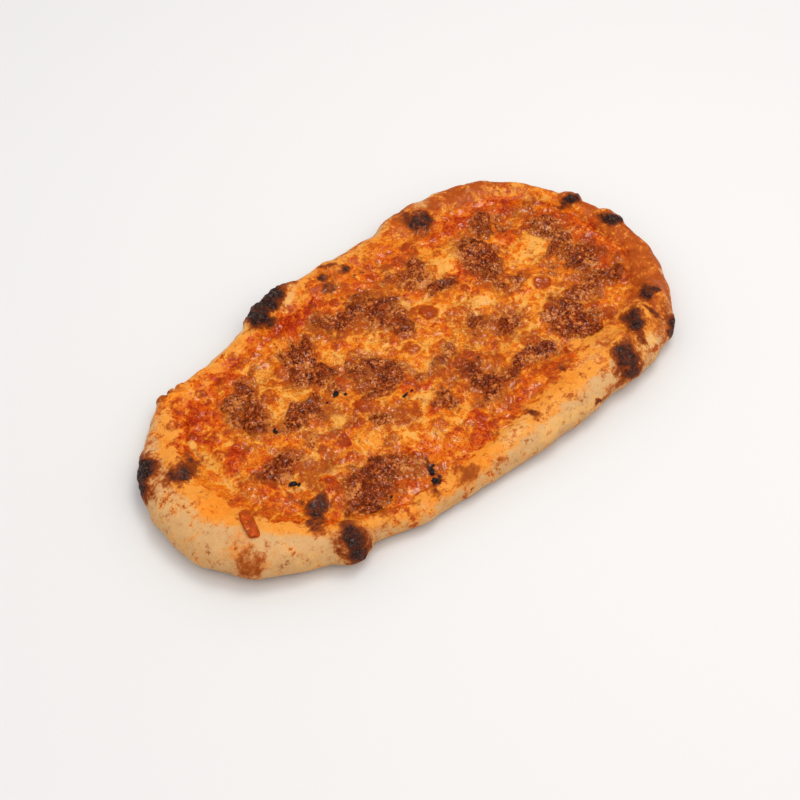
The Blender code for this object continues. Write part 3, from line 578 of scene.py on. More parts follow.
def strayed(x, y, seed, share=1.0):
    """The places moved a little this way and that, which makes round patches ragged."""
    points = flat(x, y)
    dx, dy = (
        sum(share * reach * rough(points, size, seed + more) for size, reach in STRAYS) for more in (0, 5)
    )
    return x + dx, y + dy


def read_off(x, y, z):
    """Where a point stands in the lists, whose places hold for the topping's level seen from the camera."""
    from_x, from_y, from_z = SEEN_FROM
    share = (from_z - TOPPING_LEVEL) / (from_z - z)
    return from_x + (x - from_x) * share, from_y + (y - from_y) * share


def sheet_edge(x, y, depth, width):
    """How far in from the topping's ragged edge each point is: below zero outside it."""
    points = flat(x, y)
    share = np.clip(lumpy(points, EDGE_LUMPS, 0.45), 0.0, 1.0)
    return depth - width + SHEET_REACH[0] + SHEET_REACH[1] * width * share


def stained(begins, depth):
    """How far the oil's stain has come in at a depth in from the rim's outer line."""
    return smoothstep(begins + STAIN_OVER[0], begins + STAIN_OVER[1], depth)


class Look:
    """What shows at places on the bread: how charred, browned, saucy, cheesy and meaty each one is."""

    def __init__(self, x, y, z, depth, width, spill):
        self.melted = smoothstep(*MELTED_OVER, sheet_edge(x, y, depth, width) + spill * width)
        x, y = read_off(x, y, z)
        near, far = strayed(x, y, NEAR_SEED), strayed(x, y, MIXED_SEED, MIXED)
        for name, (rows, softness, ran) in PATCHES.items():
            setattr(self, name, cover(*(far if ran else near), rows, softness))
        rounded, self.tone = grains(flat(*strayed(*far, CELL_SEEDS[0])), CELL_SIZE, CELL_SEEDS[1])
        self.cell = smoothstep(0.0, 0.9, rounded)
        rounder = strayed(x, y, SPOT_SEEDS[0], SPOT_STRAY)
        share = spots(flat(*rounder), SPOT_CELL, SPOT_SEEDS[1])
        self.toasted = SPOT_STRENGTH * (1.0 - smoothstep(0.60, 1.10, share))
        ring = SPOT_STRENGTH * near_one(share)
        for spot_x, spot_y, size, strength in TOASTED:
            share = oval_distance(*rounder, spot_x, spot_y, size, size, 0)
            self.toasted = np.maximum(self.toasted, strength * (1.0 - smoothstep(0.70, 1.05, share)))
            ring = np.maximum(ring, strength * near_one(share))
        self.creamy = np.maximum(self.creamy, RING_STRENGTH * ring)


def topping_height(x, y, rim):
    """The height of the top before its fine relief, from the rim's crest inwards."""
    depth, beside = rim.nearest(x, y)
    points = np.column_stack([x, y, inner_slope(depth, rim.height[beside], rim.width[beside])])
    z = points[:, 2] + swell(points)
    for centre_x, centre_y, size, height in CHEESE_BUBBLES:
        z += height * MM * oval_share(x, y, centre_x, centre_y, size, size, 0)
    return z


def linked(name, data):
    """A new object in the scene."""
    obj = bpy.data.objects.new(name, data)
    bpy.context.scene.collection.objects.link(obj)
    return obj


def new_object(name, bm, finish):
    """A finished mesh in the frame's own coordinates, smooth-shaded."""
    mesh = bpy.data.meshes.new(name)
    bmesh.ops.recalc_face_normals(bm, faces=bm.faces)
    bm.to_mesh(mesh)
    bm.free()
    mesh.transform(Matrix.Translation((-MIDDLE[0], -MIDDLE[1], 0.0)))
    mesh.materials.append(finish)
    mesh.shade_smooth()
    return linked(name, mesh)


def set_values(obj, **values):
    """Stores numbers that change over the surface, for the materials to read."""
    for name, numbers in values.items():
        attribute = obj.data.attributes.new(name, "FLOAT", "POINT")
        attribute.data.foreach_set("value", np.ascontiguousarray(numbers, np.float32))


def close_below(bm, bottom):
    """Gives an open sheet walls down to a flat bottom. Blender's own extruding makes them in an order that
    changes from run to run, and with it the crumbs that are scattered on them."""
    border = [edge.link_loops[0] for edge in bm.edges if edge.is_boundary]
    below = {}
    for loop in border:
        for vert in loop.edge.verts:
            if vert not in below:
                below[vert] = bm.verts.new((vert.co.x, vert.co.y, bottom))
    for loop in border:
        near, far = loop.vert, loop.edge.other_vert(loop.vert)
        bm.faces.new((far, near, below[near], below[far]))
    bmesh.ops.holes_fill(bm, edges=[edge for edge in bm.edges if edge.is_boundary])


def grid_sheet(low, high, pitch, keeps):
    """The corners and faces of a square grid in plan, without the corners that fail the test."""
    columns = np.arange(low[0], high[0], pitch)
    rows = np.arange(low[1], high[1], pitch)
    x, y = (axis.ravel() for axis in np.meshgrid(columns, rows))
    kept = keeps(x, y)
    number = np.full(len(x), -1)
    number[kept] = np.arange(kept.sum())
    number = number.reshape(len(rows), len(columns))
    corners = np.stack([number[:-1, :-1], number[:-1, 1:], number[1:, 1:], number[1:, :-1]], axis=-1)
    faces = corners.reshape(-1, 4)
    faces = faces[(faces >= 0).all(axis=1)]
    used = np.unique(faces)
    again = np.full(kept.sum(), -1)
    again[used] = np.arange(len(used))
    return x[kept][used], y[kept][used], again[faces]


def sheet_mesh(x, y, z, faces):
    """A sheet's corners and faces as a mesh to work on."""
    bm = bmesh.new()
    verts = [bm.verts.new(point) for point in zip(x, y, z)]
    for face in faces.tolist():
        bm.faces.new([verts[corner] for corner in face])
    return bm


# ---------------------------------------------------------------- finishes


def fill(tree, node, inputs):
    """Joins each of a node's inputs to a socket, or gives it a plain value."""
    for name, value in inputs.items():
        socket = node.inputs[name]
        if isinstance(value, bpy.types.NodeSocket):
            tree.links.new(value, socket)
        elif socket.type == "RGBA":
            socket.default_value = (*value[:3], 1.0)
        else:
            socket.default_value = value


def add(tree, kind, inputs=None, **settings):
    """Adds a node, sets it up and fills its inputs."""
    made = tree.nodes.new(kind)
    for name, value in settings.items():
        setattr(made, name, value)
    fill(tree, made, inputs or {})
    return made


def value_of(tree, name):
    """A number stored on the surface by set_values."""
    return add(tree, "ShaderNodeAttribute", attribute_name=name).outputs["Fac"]


def reckon(tree, operation, a, b, c=0.0):
    """A sum done by a Math node."""
    return add(tree, "ShaderNodeMath", {0: a, 1: b, 2: c}, operation=operation).outputs[0]


def times(tree, a, b):
    return reckon(tree, "MULTIPLY", a, b)


def less(tree, value):
    """What is left of 1."""
    return reckon(tree, "SUBTRACT", 1.0, value)


def step_up(tree, value, low, high):
    """What smoothstep gives, as nodes."""
    inputs = {"Value": value, "From Min": low, "From Max": high}
    return add(tree, "ShaderNodeMapRange", inputs, interpolation_type="SMOOTHSTEP").outputs["Result"]


def mixed(tree, share, a, b):
    """Colour a, giving way to colour b by the share."""
    inputs = {"Factor": share, MIX_A: a, MIX_B: b}
    return add(tree, "ShaderNodeMix", inputs, data_type="RGBA").outputs[MIX_RESULT]


def mottle(tree, size, detail=2.0, share=0.5):
    """Cloudy noise from 0 to 1 in blots of about this size, in metres."""
    place = add(tree, "ShaderNodeTexCoord").outputs["Object"]
    inputs = {"Vector": place, "Scale": 1.0 / size, "Detail": detail, "Roughness": share}
    return add(tree, "ShaderNodeTexNoise", inputs).outputs["Fac"]


def new_group(name, colours, numbers, results):
    """An empty shader group with these inputs and outputs, of which only the one named Color is a colour."""
    group = bpy.data.node_groups.new(name, "ShaderNodeTree")
    kinds = {**dict.fromkeys(colours, "Color"), **dict.fromkeys(numbers, "Float")}
    for socket, kind in kinds.items():
        group.interface.new_socket(socket, in_out="INPUT", socket_type="NodeSocket" + kind)
    for socket in results:
        kind = "Color" if socket == "Color" else "Float"
        group.interface.new_socket(socket, in_out="OUTPUT", socket_type="NodeSocket" + kind)
    return group, group.nodes.new("NodeGroupInput").outputs, group.nodes.new("NodeGroupOutput")


def stray(tree, size, reach, detail=3.0):
    """Cloudy noise about nought, this far up and down at most, that makes borders ragged."""
    return reckon(tree, "MULTIPLY_ADD", mottle(tree, size, detail, 0.6), 4.0 * reach, -2.0 * reach)


def total(tree, start, *terms):
    """A starting value with each term, a value and how much of it, added to it."""
    for value, share in terms:
        start = reckon(tree, "MULTIPLY_ADD", value, share, start)
    return start


def along(tree, place, *stops):
    """The colour at a place on a scale, of which each stop gives a place and the colour there."""
    (before, colour), *others = stops
    for here, following in others:
        colour = mixed(tree, step_up(tree, place, before, here), colour, following)
        before = here
    return colour


def laid(tree, colour, over, amounts, low, high, most=1.0):
    """A colour with another laid over it where the sum of some amounts passes from low to high."""
    amount = amounts[0]
    for more in amounts[1:]:
        amount = reckon(tree, "ADD", amount, more)
    share = step_up(tree, amount, low, high)
    if most < 1.0:
        share = times(tree, share, most)
    return mixed(tree, share, colour, over)


def layered(tree, colour, palette, *layers):
    """A colour with layers laid over it in turn: name, amounts, low, high and most of each."""
    for name, *how in layers:
        colour = laid(tree, colour, palette[name], *how)
    return colour


def cell_walls(tree, middling, small):
    """Where the walls run between the bubbles that melted cheese set in."""
    cell = total(tree, value_of(tree, "cell"), (small, 0.6), (middling, 0.5))
    return less(tree, step_up(tree, cell, 0.0, 0.5))


def dotted(tree, size, least, most):
    """Small round dots, one in some of the cells of this size: 1 inside a dot, 0 outside it."""
    place = add(tree, "ShaderNodeTexCoord").outputs["Object"]
    inputs = {"Vector": place, "Scale": 1.0 / size}
    found = add(tree, "ShaderNodeTexVoronoi", inputs, feature="F1").outputs
    draw = add(tree, "ShaderNodeSeparateColor", {"Color": found["Color"]}).outputs
    radius = reckon(tree, "MULTIPLY_ADD", draw["Green"], most - least, least)
    dot = less(tree, step_up(tree, reckon(tree, "DIVIDE", found["Distance"], radius), 0.55, 1.0))
    return times(tree, dot, reckon(tree, "GREATER_THAN", draw["Red"], 0.65))


def burning_group():
    """What fire does to any surface here: it browns it, then blackens it and leaves specks of ash."""
    group, given, result = new_group(
        "Burning", ("Color", *FIRE_COLOURS), ("Browned", "Charred"), ("Color", "Black Share", "Height")
    )
    broad, middling, small = (stray(group, *how) for how in FIRE_NOISES)
    charred = reckon(group, "ADD", given["Charred"], reckon(group, "ADD", broad, small))
    colour = layered(
        group,
        given["Color"],
        given,
        ("Amber", (given["Browned"], broad, middling, small), 0.10, 1.05, 0.85),
        ("Brown", (given["Browned"], broad, middling, small), 0.45, 1.15, 0.90),
        ("Brown", (charred,), 0.05, 0.45),
        ("Dark Brown", (charred,), 0.28, 0.78),
    )
    black = step_up(group, charred, 0.58, 1.05)
    specks = step_up(group, mottle(group, 0.0013, 4.0, 0.75), 0.47, 0.62)
    sooty = mixed(group, times(group, specks, 0.5), given["Black"], given["Ash"])
    results = {
        "Color": mixed(group, black, colour, sooty),
        "Black Share": step_up(group, charred, 0.35, 0.80),
        "Height": times(group, specks, black),
    }
    fill(group, result, results)


def skin_group():
    """The fine unevenness of a baked surface: two sizes of bumps in one height."""
    group, given, result = new_group("Baked Skin", (), ("Coarse", "Fine"), ("Height", "Mottle"))
    coarse, fine = mottle(group, 0.0026, 3.0, 0.6), mottle(group, 0.0008, 2.0, 0.5)
    height = reckon(group, "MULTIPLY_ADD", fine, given["Fine"], times(group, coarse, given["Coarse"]))
    fill(group, result, {"Height": height, "Mottle": mottle(group, 0.0060, 4.0, 0.6)})


def top_group():
    """The colour of the bread's top before the fire: dough, giving way to cheese, tomato and meat juice."""
    group, given, result = new_group("Bread Top", TOP_COLOURS, (), ("Color", "Melted"))
    wide, broad, middling, small, fine = (stray(group, *how) for how in TOP_NOISES)
    stain, oiled, ruddy, pale, meaty, creamy, cell, tone, sauce, toasted, cheese = (
        value_of(group, name)
        for name in "stain oiled ruddy pale mince creamy cell tone sauce toasted melted".split()
    )
    reddened = total(group, ruddy, (wide, 0.8), (broad, 1.1), (middling, 1.8))
    glowing = total(group, times(group, ruddy, 0.5), (middling, 1.0), (small, 0.8))
    stained_redder = times(group, stain, total(group, wide, (broad, 1.0), (middling, 1.2)))
    dough = layered(
        group,
        given["Pale"],
        given,
        ("Golden", (stain, broad), 0.0, 0.6),
        ("Golden", (middling,), 0.0, 0.5, 0.25),
        ("Cream Dough", (wide, broad), 0.0, 0.6, 0.60),
        ("Oiled", (oiled, broad, middling, small, fine), 0.10, 1.25, 0.90),
        ("Ruddy", (reddened, small, fine), 0.40, 0.90, 0.95),
        ("Crisp", (reddened, small, fine), 0.80, 1.30, 0.80),
        ("Oiled", (glowing, middling, small, fine), 0.60, 1.15, 0.85),
        ("Ruddy", (stained_redder, small), 0.15, 1.0, 0.55),
        # The pale patches: dough left pale, and on the north fold ridge partly a painted highlight
        ("Cream Dough", (pale, broad), 0.2, 0.9, 0.85),
        ("Freckle", (dotted(group, 0.0100, 0.12, 0.20),), 0.1, 1.0, 0.60),
        ("Freckle", (small, middling, fine), -0.25, 0.70, 0.28),
        ("Freckle", (fine,), -0.12, 0.20, 0.22),
    )
    walls = cell_walls(group, middling, small)
    cheesy = step_up(group, total(group, creamy, (wide, 1.0), (broad, 0.6), (meaty, -0.3)), -0.25, 0.7)
    domes = times(group, step_up(group, total(group, cell, (middling, 0.8)), 0.3, 0.9), tone)
    busy = reckon(group, "MULTIPLY_ADD", creamy, -0.45, 1.0)
    baked = total(
        group,
        0.50,
        (creamy, -0.33),
        (sauce, 0.36),
        (toasted, 0.30),
        (domes, 0.24),
        (times(group, walls, cheesy), -0.34),
        (broad, 0.50),
        (times(group, middling, busy), 1.15),
        (times(group, small, busy), 1.30),
        (fine, 1.35),
    )
    scale = {"Cream": 0.03, "Gold": 0.23, "Orange": 0.44, "Ember": 0.62, "Sauce": 0.80, "Deep Sauce": 1.0}
    juicy = total(group, meaty, (creamy, -0.25), (sauce, -0.25), (walls, -0.15))
    top = layered(
        group,
        along(group, baked, *((place, given[name]) for name, place in scale.items())),
        given,
        ("Meat Juice", (juicy, wide, middling, small, fine), -0.25, 0.75, 0.72),
        ("Toast", (domes, wide, middling, small, fine), 0.35, 1.2, 0.60),
        ("Toast", (toasted, middling, small, fine), 0.12, 1.0, 0.80),
    )
    melted = total(group, cheese, (wide, 0.5), (broad, 1.2), (middling, 1.2), (small, 0.8))
    share = step_up(group, melted, 0.20, 0.80)
    fill(group, result, {"Color": mixed(group, share, dough, top), "Melted": share})


def used_group(tree, name, inputs):
    """A shared group placed in this material with its own values, and built when it is first asked for."""
    if name not in bpy.data.node_groups:
        {"Burning": burning_group, "Baked Skin": skin_group, "Bread Top": top_group}[name]()
    return add(tree, "ShaderNodeGroup", inputs, node_tree=bpy.data.node_groups[name]).outputs


def skin_of(tree, coarse, fine):
    return used_group(tree, "Baked Skin", {"Coarse": coarse, "Fine": fine})


def colours_of(look, names):
    """The colours that a user sets, by the names of a group's sockets."""
    return {name: getattr(look, name.lower().replace(" ", "_")) for name in names}


def dress(tree, shader, colour, roughness, specular):
    """The plain sockets of a shader."""
    fill(tree, shader, {"Base Color": colour, "Roughness": roughness, "Specular IOR Level": specular})


def new_finish(name):
    """An empty material and its Principled BSDF."""
    finish = bpy.data.materials.new(name)
    finish.use_nodes = True
    return finish, finish.node_tree, finish.node_tree.nodes["Principled BSDF"]


def relief(tree, shader, height, depth):
    """Bumps too small for the mesh, this deep in metres."""
    bump = add(tree, "ShaderNodeBump", {"Height": height, "Distance": depth, "Strength": 1.0})
    fill(tree, shader, {"Normal": bump.outputs["Normal"]})


def wet_film(tree, shader, size, most):
    """A glossy film of fat in patches of about this size."""
    patchy = step_up(tree, mottle(tree, size, 3.0, 0.6), 0.35, 0.60)
    fill(tree, shader, {"Coat Weight": times(tree, patchy, most), "Coat Roughness": FILM_ROUGHNESS})


def see_into(tree, shader, weight, radius, scale):
    """Light that goes a little way into the surface."""
    values = {"Weight": weight, "Radius": radius, "Scale": scale}
    fill(tree, shader, {"Subsurface " + name: value for name, value in values.items()})


def fired(tree, look, colour):
    """A colour after the oven has browned and blackened it."""
    amounts = {"Browned": value_of(tree, "browned"), "Charred": value_of(tree, "charred")}
    return used_group(tree, "Burning", {"Color": colour, **colours_of(look, FIRE_COLOURS), **amounts})


def top_colour(tree, look):
    """The shared colour of dough and topping, which is why no seam shows between them."""
    return used_group(tree, "Bread Top", colours_of(look, TOP_COLOURS))


def dough_finish(look):
    finish, tree, shader = new_finish("Baked dough")
    skin = skin_of(tree, 0.7, 0.35)
    top = top_colour(tree, look)
    under = times(tree, value_of(tree, "under"), step_up(tree, mottle(tree, 0.012), 0.35, 0.6))
    burnt = fired(tree, look, mixed(tree, times(tree, under, 0.7), top["Color"], look.brown))
    oily = reckon(tree, "MAXIMUM", times(tree, value_of(tree, "oiled"), 0.5), top["Melted"])
    oily = reckon(tree, "MAXIMUM", times(tree, value_of(tree, "ruddy"), value_of(tree, "stain")), oily)
    rough_share = total(tree, 0.62, (oily, -0.22), (burnt["Black Share"], -0.12))
    dress(tree, shader, burnt["Color"], rough_share, FAINT_SHINE)
    relief(tree, shader, reckon(tree, "ADD", skin["Height"], burnt["Height"]), look.skin_depth)
    see_into(tree, shader, 0.15, (1.0, 0.55, 0.25), 0.002)
    wet_film(tree, shader, 0.0030, times(tree, oily, 0.2))
    return finish


def topping_finish(look):
    finish, tree, shader = new_finish("Melted cheese and tomato")
    skin = skin_of(tree, 0.8, 0.7)
    top = top_colour(tree, look)
    burnt = fired(tree, look, top["Color"])
    rough_share = reckon(tree, "MULTIPLY_ADD", skin["Mottle"], 0.30, 0.30)
    rough_share = total(tree, rough_share, (less(tree, top["Melted"]), 0.15), (burnt["Black Share"], 0.1))
    dress(tree, shader, burnt["Color"], rough_share, FAINT_SHINE)
    relief(tree, shader, reckon(tree, "ADD", skin["Height"], burnt["Height"]), look.melted_depth)
    see_into(tree, shader, 0.2, (1.0, 0.5, 0.2), 0.0015)
    juicy = reckon(tree, "MULTIPLY_ADD", value_of(tree, "creamy"), -0.9, 1.0)
    wet_film(tree, shader, 0.0050, times(tree, top["Melted"], juicy))
    return finish


def mince_finish(name, look, top):
    """Browned mince, from dark to light by each crumb's shade, that melts into the cheese at its edges."""
    finish, tree, shader = new_finish(name)
    skin = skin_of(tree, 0.7, 0.5)
    broad, middling, small = (stray(tree, *how) for how in MINCE_NOISES)
    mince, creamy = value_of(tree, "mince"), value_of(tree, "creamy")
    # The stored shade is each crumb's own tone; on the clumps it also holds painted shade, darker in the
    # crevices between the bumps and lighter on their tops
    shade = total(tree, 0.08, (value_of(tree, "shade"), 0.60), (small, 1.25), (middling, 1.25), (broad, 0.6))
    colour = along(tree, shade, (0.0, look.dark), (0.55, look.middle), (1.1, look.light))
    colour = laid(tree, colour, look.ruddy, (broad, middling), 0.0, 0.6, 0.6)
    walls = cell_walls(tree, middling, small)
    filmed = total(tree, shade, (creamy, 0.5), (broad, 1.0), (walls, 0.3), (mince, -0.8))
    colour = laid(tree, colour, look.coated, (filmed, small), -0.20, 0.80, 0.85)
    colour = laid(tree, top_colour(tree, top)["Color"], colour, (mince, broad, middling, small), 0.10, 0.85)
    rough_share = reckon(tree, "MULTIPLY_ADD", skin["Mottle"], 0.30, 0.30)
    dress(tree, shader, colour, rough_share, FAINT_SHINE)
    relief(tree, shader, skin["Height"], look.relief_depth)
    wet_film(tree, shader, 0.0040, 1.0)
    return finish


def burnt_finish(look):
    finish, tree, shader = new_finish("Burnt crumbs")
    specks = step_up(tree, mottle(tree, 0.0008, 3.0, 0.7), 0.5, 0.7)
    rough_share = reckon(tree, "MULTIPLY_ADD", specks, 0.3, 0.35)
    fill(tree, shader, {"Base Color": mixed(tree, specks, look.black, look.ash), "Roughness": rough_share})
    relief(tree, shader, specks, look.grain_depth)
    return finish


def strip_finish(look):
    finish, tree, shader = new_finish("Crisped strip")
    skin = skin_of(tree, 0.7, 0.4)
    colour = mixed(tree, step_up(tree, mottle(tree, 0.0035, 3.0, 0.6), 0.35, 0.65), look.sauce, look.toast)
    colour = mixed(tree, step_up(tree, mottle(tree, 0.0020, 2.0, 0.6), 0.60, 0.72), colour, look.gold)
    colour = fired(tree, look, colour)["Color"]
    rough_share = reckon(tree, "MULTIPLY_ADD", skin["Mottle"], 0.3, 0.25)
    dress(tree, shader, colour, rough_share, 0.25)
    relief(tree, shader, skin["Height"], look.skin_depth)
    return finish


# ---------------------------------------------------------------- pieces


def crust_rings(rim):
    """Depth in from the outer line, height, upward lean and reach (the way in over the rim, below zero under
    its bulge) of each ring of the dough's skin, from its foot over the crest and down under the topping."""
    foot_in = UNDERCUT_SHARE * rim.height
    bulge = BULGE_SHARE * rim.height
    crest = CREST_SHARE * rim.width
    for a in np.linspace(0, math.pi / 2, UNDERCUT_RINGS, endpoint=False):
        depth = foot_in * (1 - math.sin(a))
        yield depth, bulge * (1 - math.cos(a)), a - math.pi / 2, -depth
    for a in np.linspace(0, math.pi / 2, OUTER_RINGS, endpoint=False):
        depth = crest * (1 - math.cos(a))
        yield depth, bulge + (rim.height - bulge) * math.sin(a), a, depth
    for share in np.linspace(0, 1, SLOPE_RINGS):
        depth = crest + (rim.width + LAST_RING_IN - crest) * share
        yield depth, inner_slope(depth, rim.height, rim.width), math.pi / 2, depth


def dough_relief(points, charred, browned):
    """The fine unevenness of baked dough: soft dimples, and a rough crackled skin where it burnt."""
    size, height, seed = CRACKS
    ridges = np.maximum(1.0 - np.abs(rough(points, size, seed)) * 2.0, 0.0)
    crackled = ridges * height + lumpy(points, CRUSTY)
    return lumpy(points, DOUGH_RELIEF) + crackled * np.clip(charred * 1.2 + browned * 0.25, 0.0, 1.0)


def build_crust(settings):
    rim = Rim(ROUND)
    rows, stored = [], {name: [] for name in (*FIELDS, "stain", "ruddy")}
    for depth, height, lean, reach in crust_rings(rim):
        base = np.column_stack([rim.inset(depth), height])
        look = Look(base[:, 0], base[:, 1], height + swell(base), reach, rim.width, rim.spill)
        low = smoothstep(*FIRED_OVER, height)
        dip = DOUGH_DIP * smoothstep(rim.width - DOUGH_DIP_OVER, rim.width, depth)
        facing = np.column_stack([rim.normals * math.cos(lean), np.full(len(base), math.sin(lean))])
        out = swell(base) + dough_relief(base, look.charred * low, look.browned * low)
        rows.append(base + facing * (out * smoothstep(0.0, FLAT_UP_TO, height))[:, None])
        rows[-1][:, 2] -= dip
        stored["stain"].append(stained(rim.stain_from, reach))
        stored["ruddy"].append(rim.redness * smoothstep(*RUDDY_OVER, reach))
        oiled = smoothstep(*OILED_OVER, reach)
        over = {"oiled": oiled, "pale": look.charred < 0.5, "browned": low, "charred": low}
        for name in FIELDS:
            stored[name].append(getattr(look, name) * over.get(name, 1.0))
    rings = np.array(rows)
    floor = rings[-1].copy()
    floor[:, 2] = WELL_FLOOR
    bm = bmesh.new()
    turns = [[bm.verts.new(point) for point in ring] for ring in (*rings, floor)]
    following = [(i, (i + 1) % ROUND) for i in range(ROUND)]
    for lower, upper in zip(turns, turns[1:]):
        for i, j in following:
            bm.faces.new((lower[i], lower[j], upper[j], upper[i]))
    foot = bm.verts.new(rings[0].mean(axis=0))
    middle = bm.verts.new(floor.mean(axis=0))
    for i, j in following:
        bm.faces.new((turns[0][j], turns[0][i], foot))
        bm.faces.new((turns[-1][i], turns[-1][j], middle))
    crust = new_object("baked_dough", bm, dough_finish(settings))
    ends = {
        name: np.append(np.concatenate([*parts, parts[-1]]), [0.0, 0.0]) for name, parts in stored.items()
    }
    z = np.concatenate([rings[:, :, 2].ravel(), floor[:, 2], [0.0, WELL_FLOOR]])
    set_values(crust, under=1.0 - smoothstep(0.0, UNDERSIDE_UP_TO, z), **ends)
    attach(crust, "root")
    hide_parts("crust")


def melted_relief(points, look):
    """How far the melted cheese stands up and down from its sheet."""
    size, height, seed = MELTED_GRAINS
    grainy = (grains(points, size, seed)[0] - 0.5) * height * np.clip(look.mince * 1.4 - 0.1, 0.12, 1.0)
    bubbly = BUBBLE_RISE * (look.cell - 0.5) * (1.0 - 0.7 * look.creamy) + TOASTED_RISE * look.toasted
    chunky = CHUNK_RISE * smoothstep(0.45, 0.90, look.sauce)
    return lumpy(points, MELTED_RELIEF) + grainy + bubbly + chunky + lumpy(points, MELTED_FINE)


def reach_in(rim, x, y):
    """How far in from the topping's ragged edge each point is, also where it lies outside the bread."""
    depth, beside = rim.nearest(x, y)
    offset = np.column_stack([x, y]) - rim.points[beside]
    outside = (offset * rim.normals[beside]).sum(axis=1) > 0
    return sheet_edge(x, y, np.where(outside, -depth, depth), rim.width[beside])


def topping_surface(rim, x, y, look):
    """The height of the melted topping at each point."""
    edge = reach_in(rim, x, y)
    rise = -SHEET_DIP + (SHEET_DIP + SHEET_RISE) * smoothstep(*SHEET_RISE_OVER, edge)
    rise -= SHEET_RISE * smoothstep(*SHEET_EVEN_OVER, edge)
    fine = melted_relief(flat(x, y), look) * smoothstep(*SHEET_RELIEF_OVER, edge)
    return topping_height(x, y, rim) + rise + fine


def padded_out(numbers, count):
    """The numbers with noughts after them, for the points that were added last."""
    return np.concatenate([numbers, np.zeros(count - len(numbers))])


def look_at(rim, x, y):
    """What shows at places on the topping."""
    depth, beside = rim.nearest(x, y)
    return Look(x, y, topping_height(x, y, rim), depth, rim.width[beside], rim.spill[beside])


def store_look(obj, rim, x, y, look, **more):
    """Stores on a sheet what shows at each of its points, for the materials to read."""
    depth, beside = rim.nearest(x, y)
    fields = {name: getattr(look, name) for name in FIELDS}
    fields.update(stain=stained(rim.stain_from[beside], depth), ruddy=rim.redness[beside], **more)
    count = len(obj.data.vertices)
    set_values(obj, **{name: padded_out(field, count) for name, field in fields.items()})


def build_topping(settings):
    rim = Rim(FINE_SAMPLES)
    low, high = rim.points.min(axis=0), rim.points.max(axis=0)
    x, y, faces = grid_sheet(low, high, TOPPING_PITCH, lambda x, y: reach_in(rim, x, y) > 0.0)
    look = look_at(rim, x, y)
    bm = sheet_mesh(x, y, topping_surface(rim, x, y, look), faces)
    close_below(bm, WELL_FLOOR)
    topping = new_object("cheese_and_tomato", bm, topping_finish(settings))
    store_look(topping, rim, x, y, look)
    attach(topping, "root")
    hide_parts("cheese")


def build_mince(settings, top):
    """The clumps: one layer that stands above the cheese where mince lies and sinks into it elsewhere."""
    rim = Rim(FINE_SAMPLES)
    low, high = rim.points.min(axis=0), rim.points.max(axis=0)

    def meaty(x, y):
        places = strayed(*read_off(x, y, topping_height(x, y, rim)), MIXED_SEED, MIXED)
        rows, softness, _ = PATCHES["mince"]
        return (cover(*places, rows, softness) > MINCE_FROM) & (reach_in(rim, x, y) > MINCE_EDGE)

    x, y, faces = grid_sheet(low, high, MINCE_PITCH, meaty)
    look = look_at(rim, x, y)
    points = flat(x, y)
    (bumps, shade), (small, _) = (
        grains(points, settings.crumb_width * share, seed) for share, seed in MINCE_GRAINS
    )
    rise = -MINCE_SINK + (MINCE_SINK + settings.clump_height) * smoothstep(MINCE_FROM, 1.0, look.mince)
    granular = (bumps - 0.5) * MINCE_BUMP + (small - 0.5) * MINCE_FINE_BUMP + lumpy(points, MINCE_RELIEF)
    bm = sheet_mesh(x, y, topping_surface(rim, x, y, look) + rise + granular, faces)
    close_below(bm, WELL_FLOOR + CLEAR)
    mince = new_object("mince_clumps", bm, mince_finish("Browned mince", settings, top))
    # Painted shade: the stored shade is each bump's tone, made darker in the crevices between the bumps and
    # lighter on their tops by the bumps' height
    store_look(mince, rim, x, y, look, shade=0.20 + 0.6 * shade + 0.5 * (bumps - 0.5))
    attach(mince, "root")
    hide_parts(*[name for name in frame["nodes"] if name.startswith("mince_")])


def crumb_shapes():
    """A few lumpy little shapes, a unit wide, to scatter."""
    shapes = bpy.data.collections.new("crumb shapes")
    bpy.context.scene.collection.children.link(shapes)
    for number in range(CRUMB_SHAPES):
        bm = bmesh.new()
        bmesh.ops.create_uvsphere(bm, u_segments=7, v_segments=5, radius=0.5)
        for vert in bm.verts:
            place = vert.co * 2.2 + Vector((number * 11.7, 0, 0))
            vert.co *= 1.0 + 0.8 * noise.noise(place) + 0.35 * noise.noise(place * 2.3)
            vert.co.z *= CRUMB_FLATNESS
        mesh = bpy.data.meshes.new(f"crumb shape {number}")
        bm.to_mesh(mesh)
        bm.free()
        shapes.objects.link(bpy.data.objects.new(mesh.name, mesh))
    return shapes


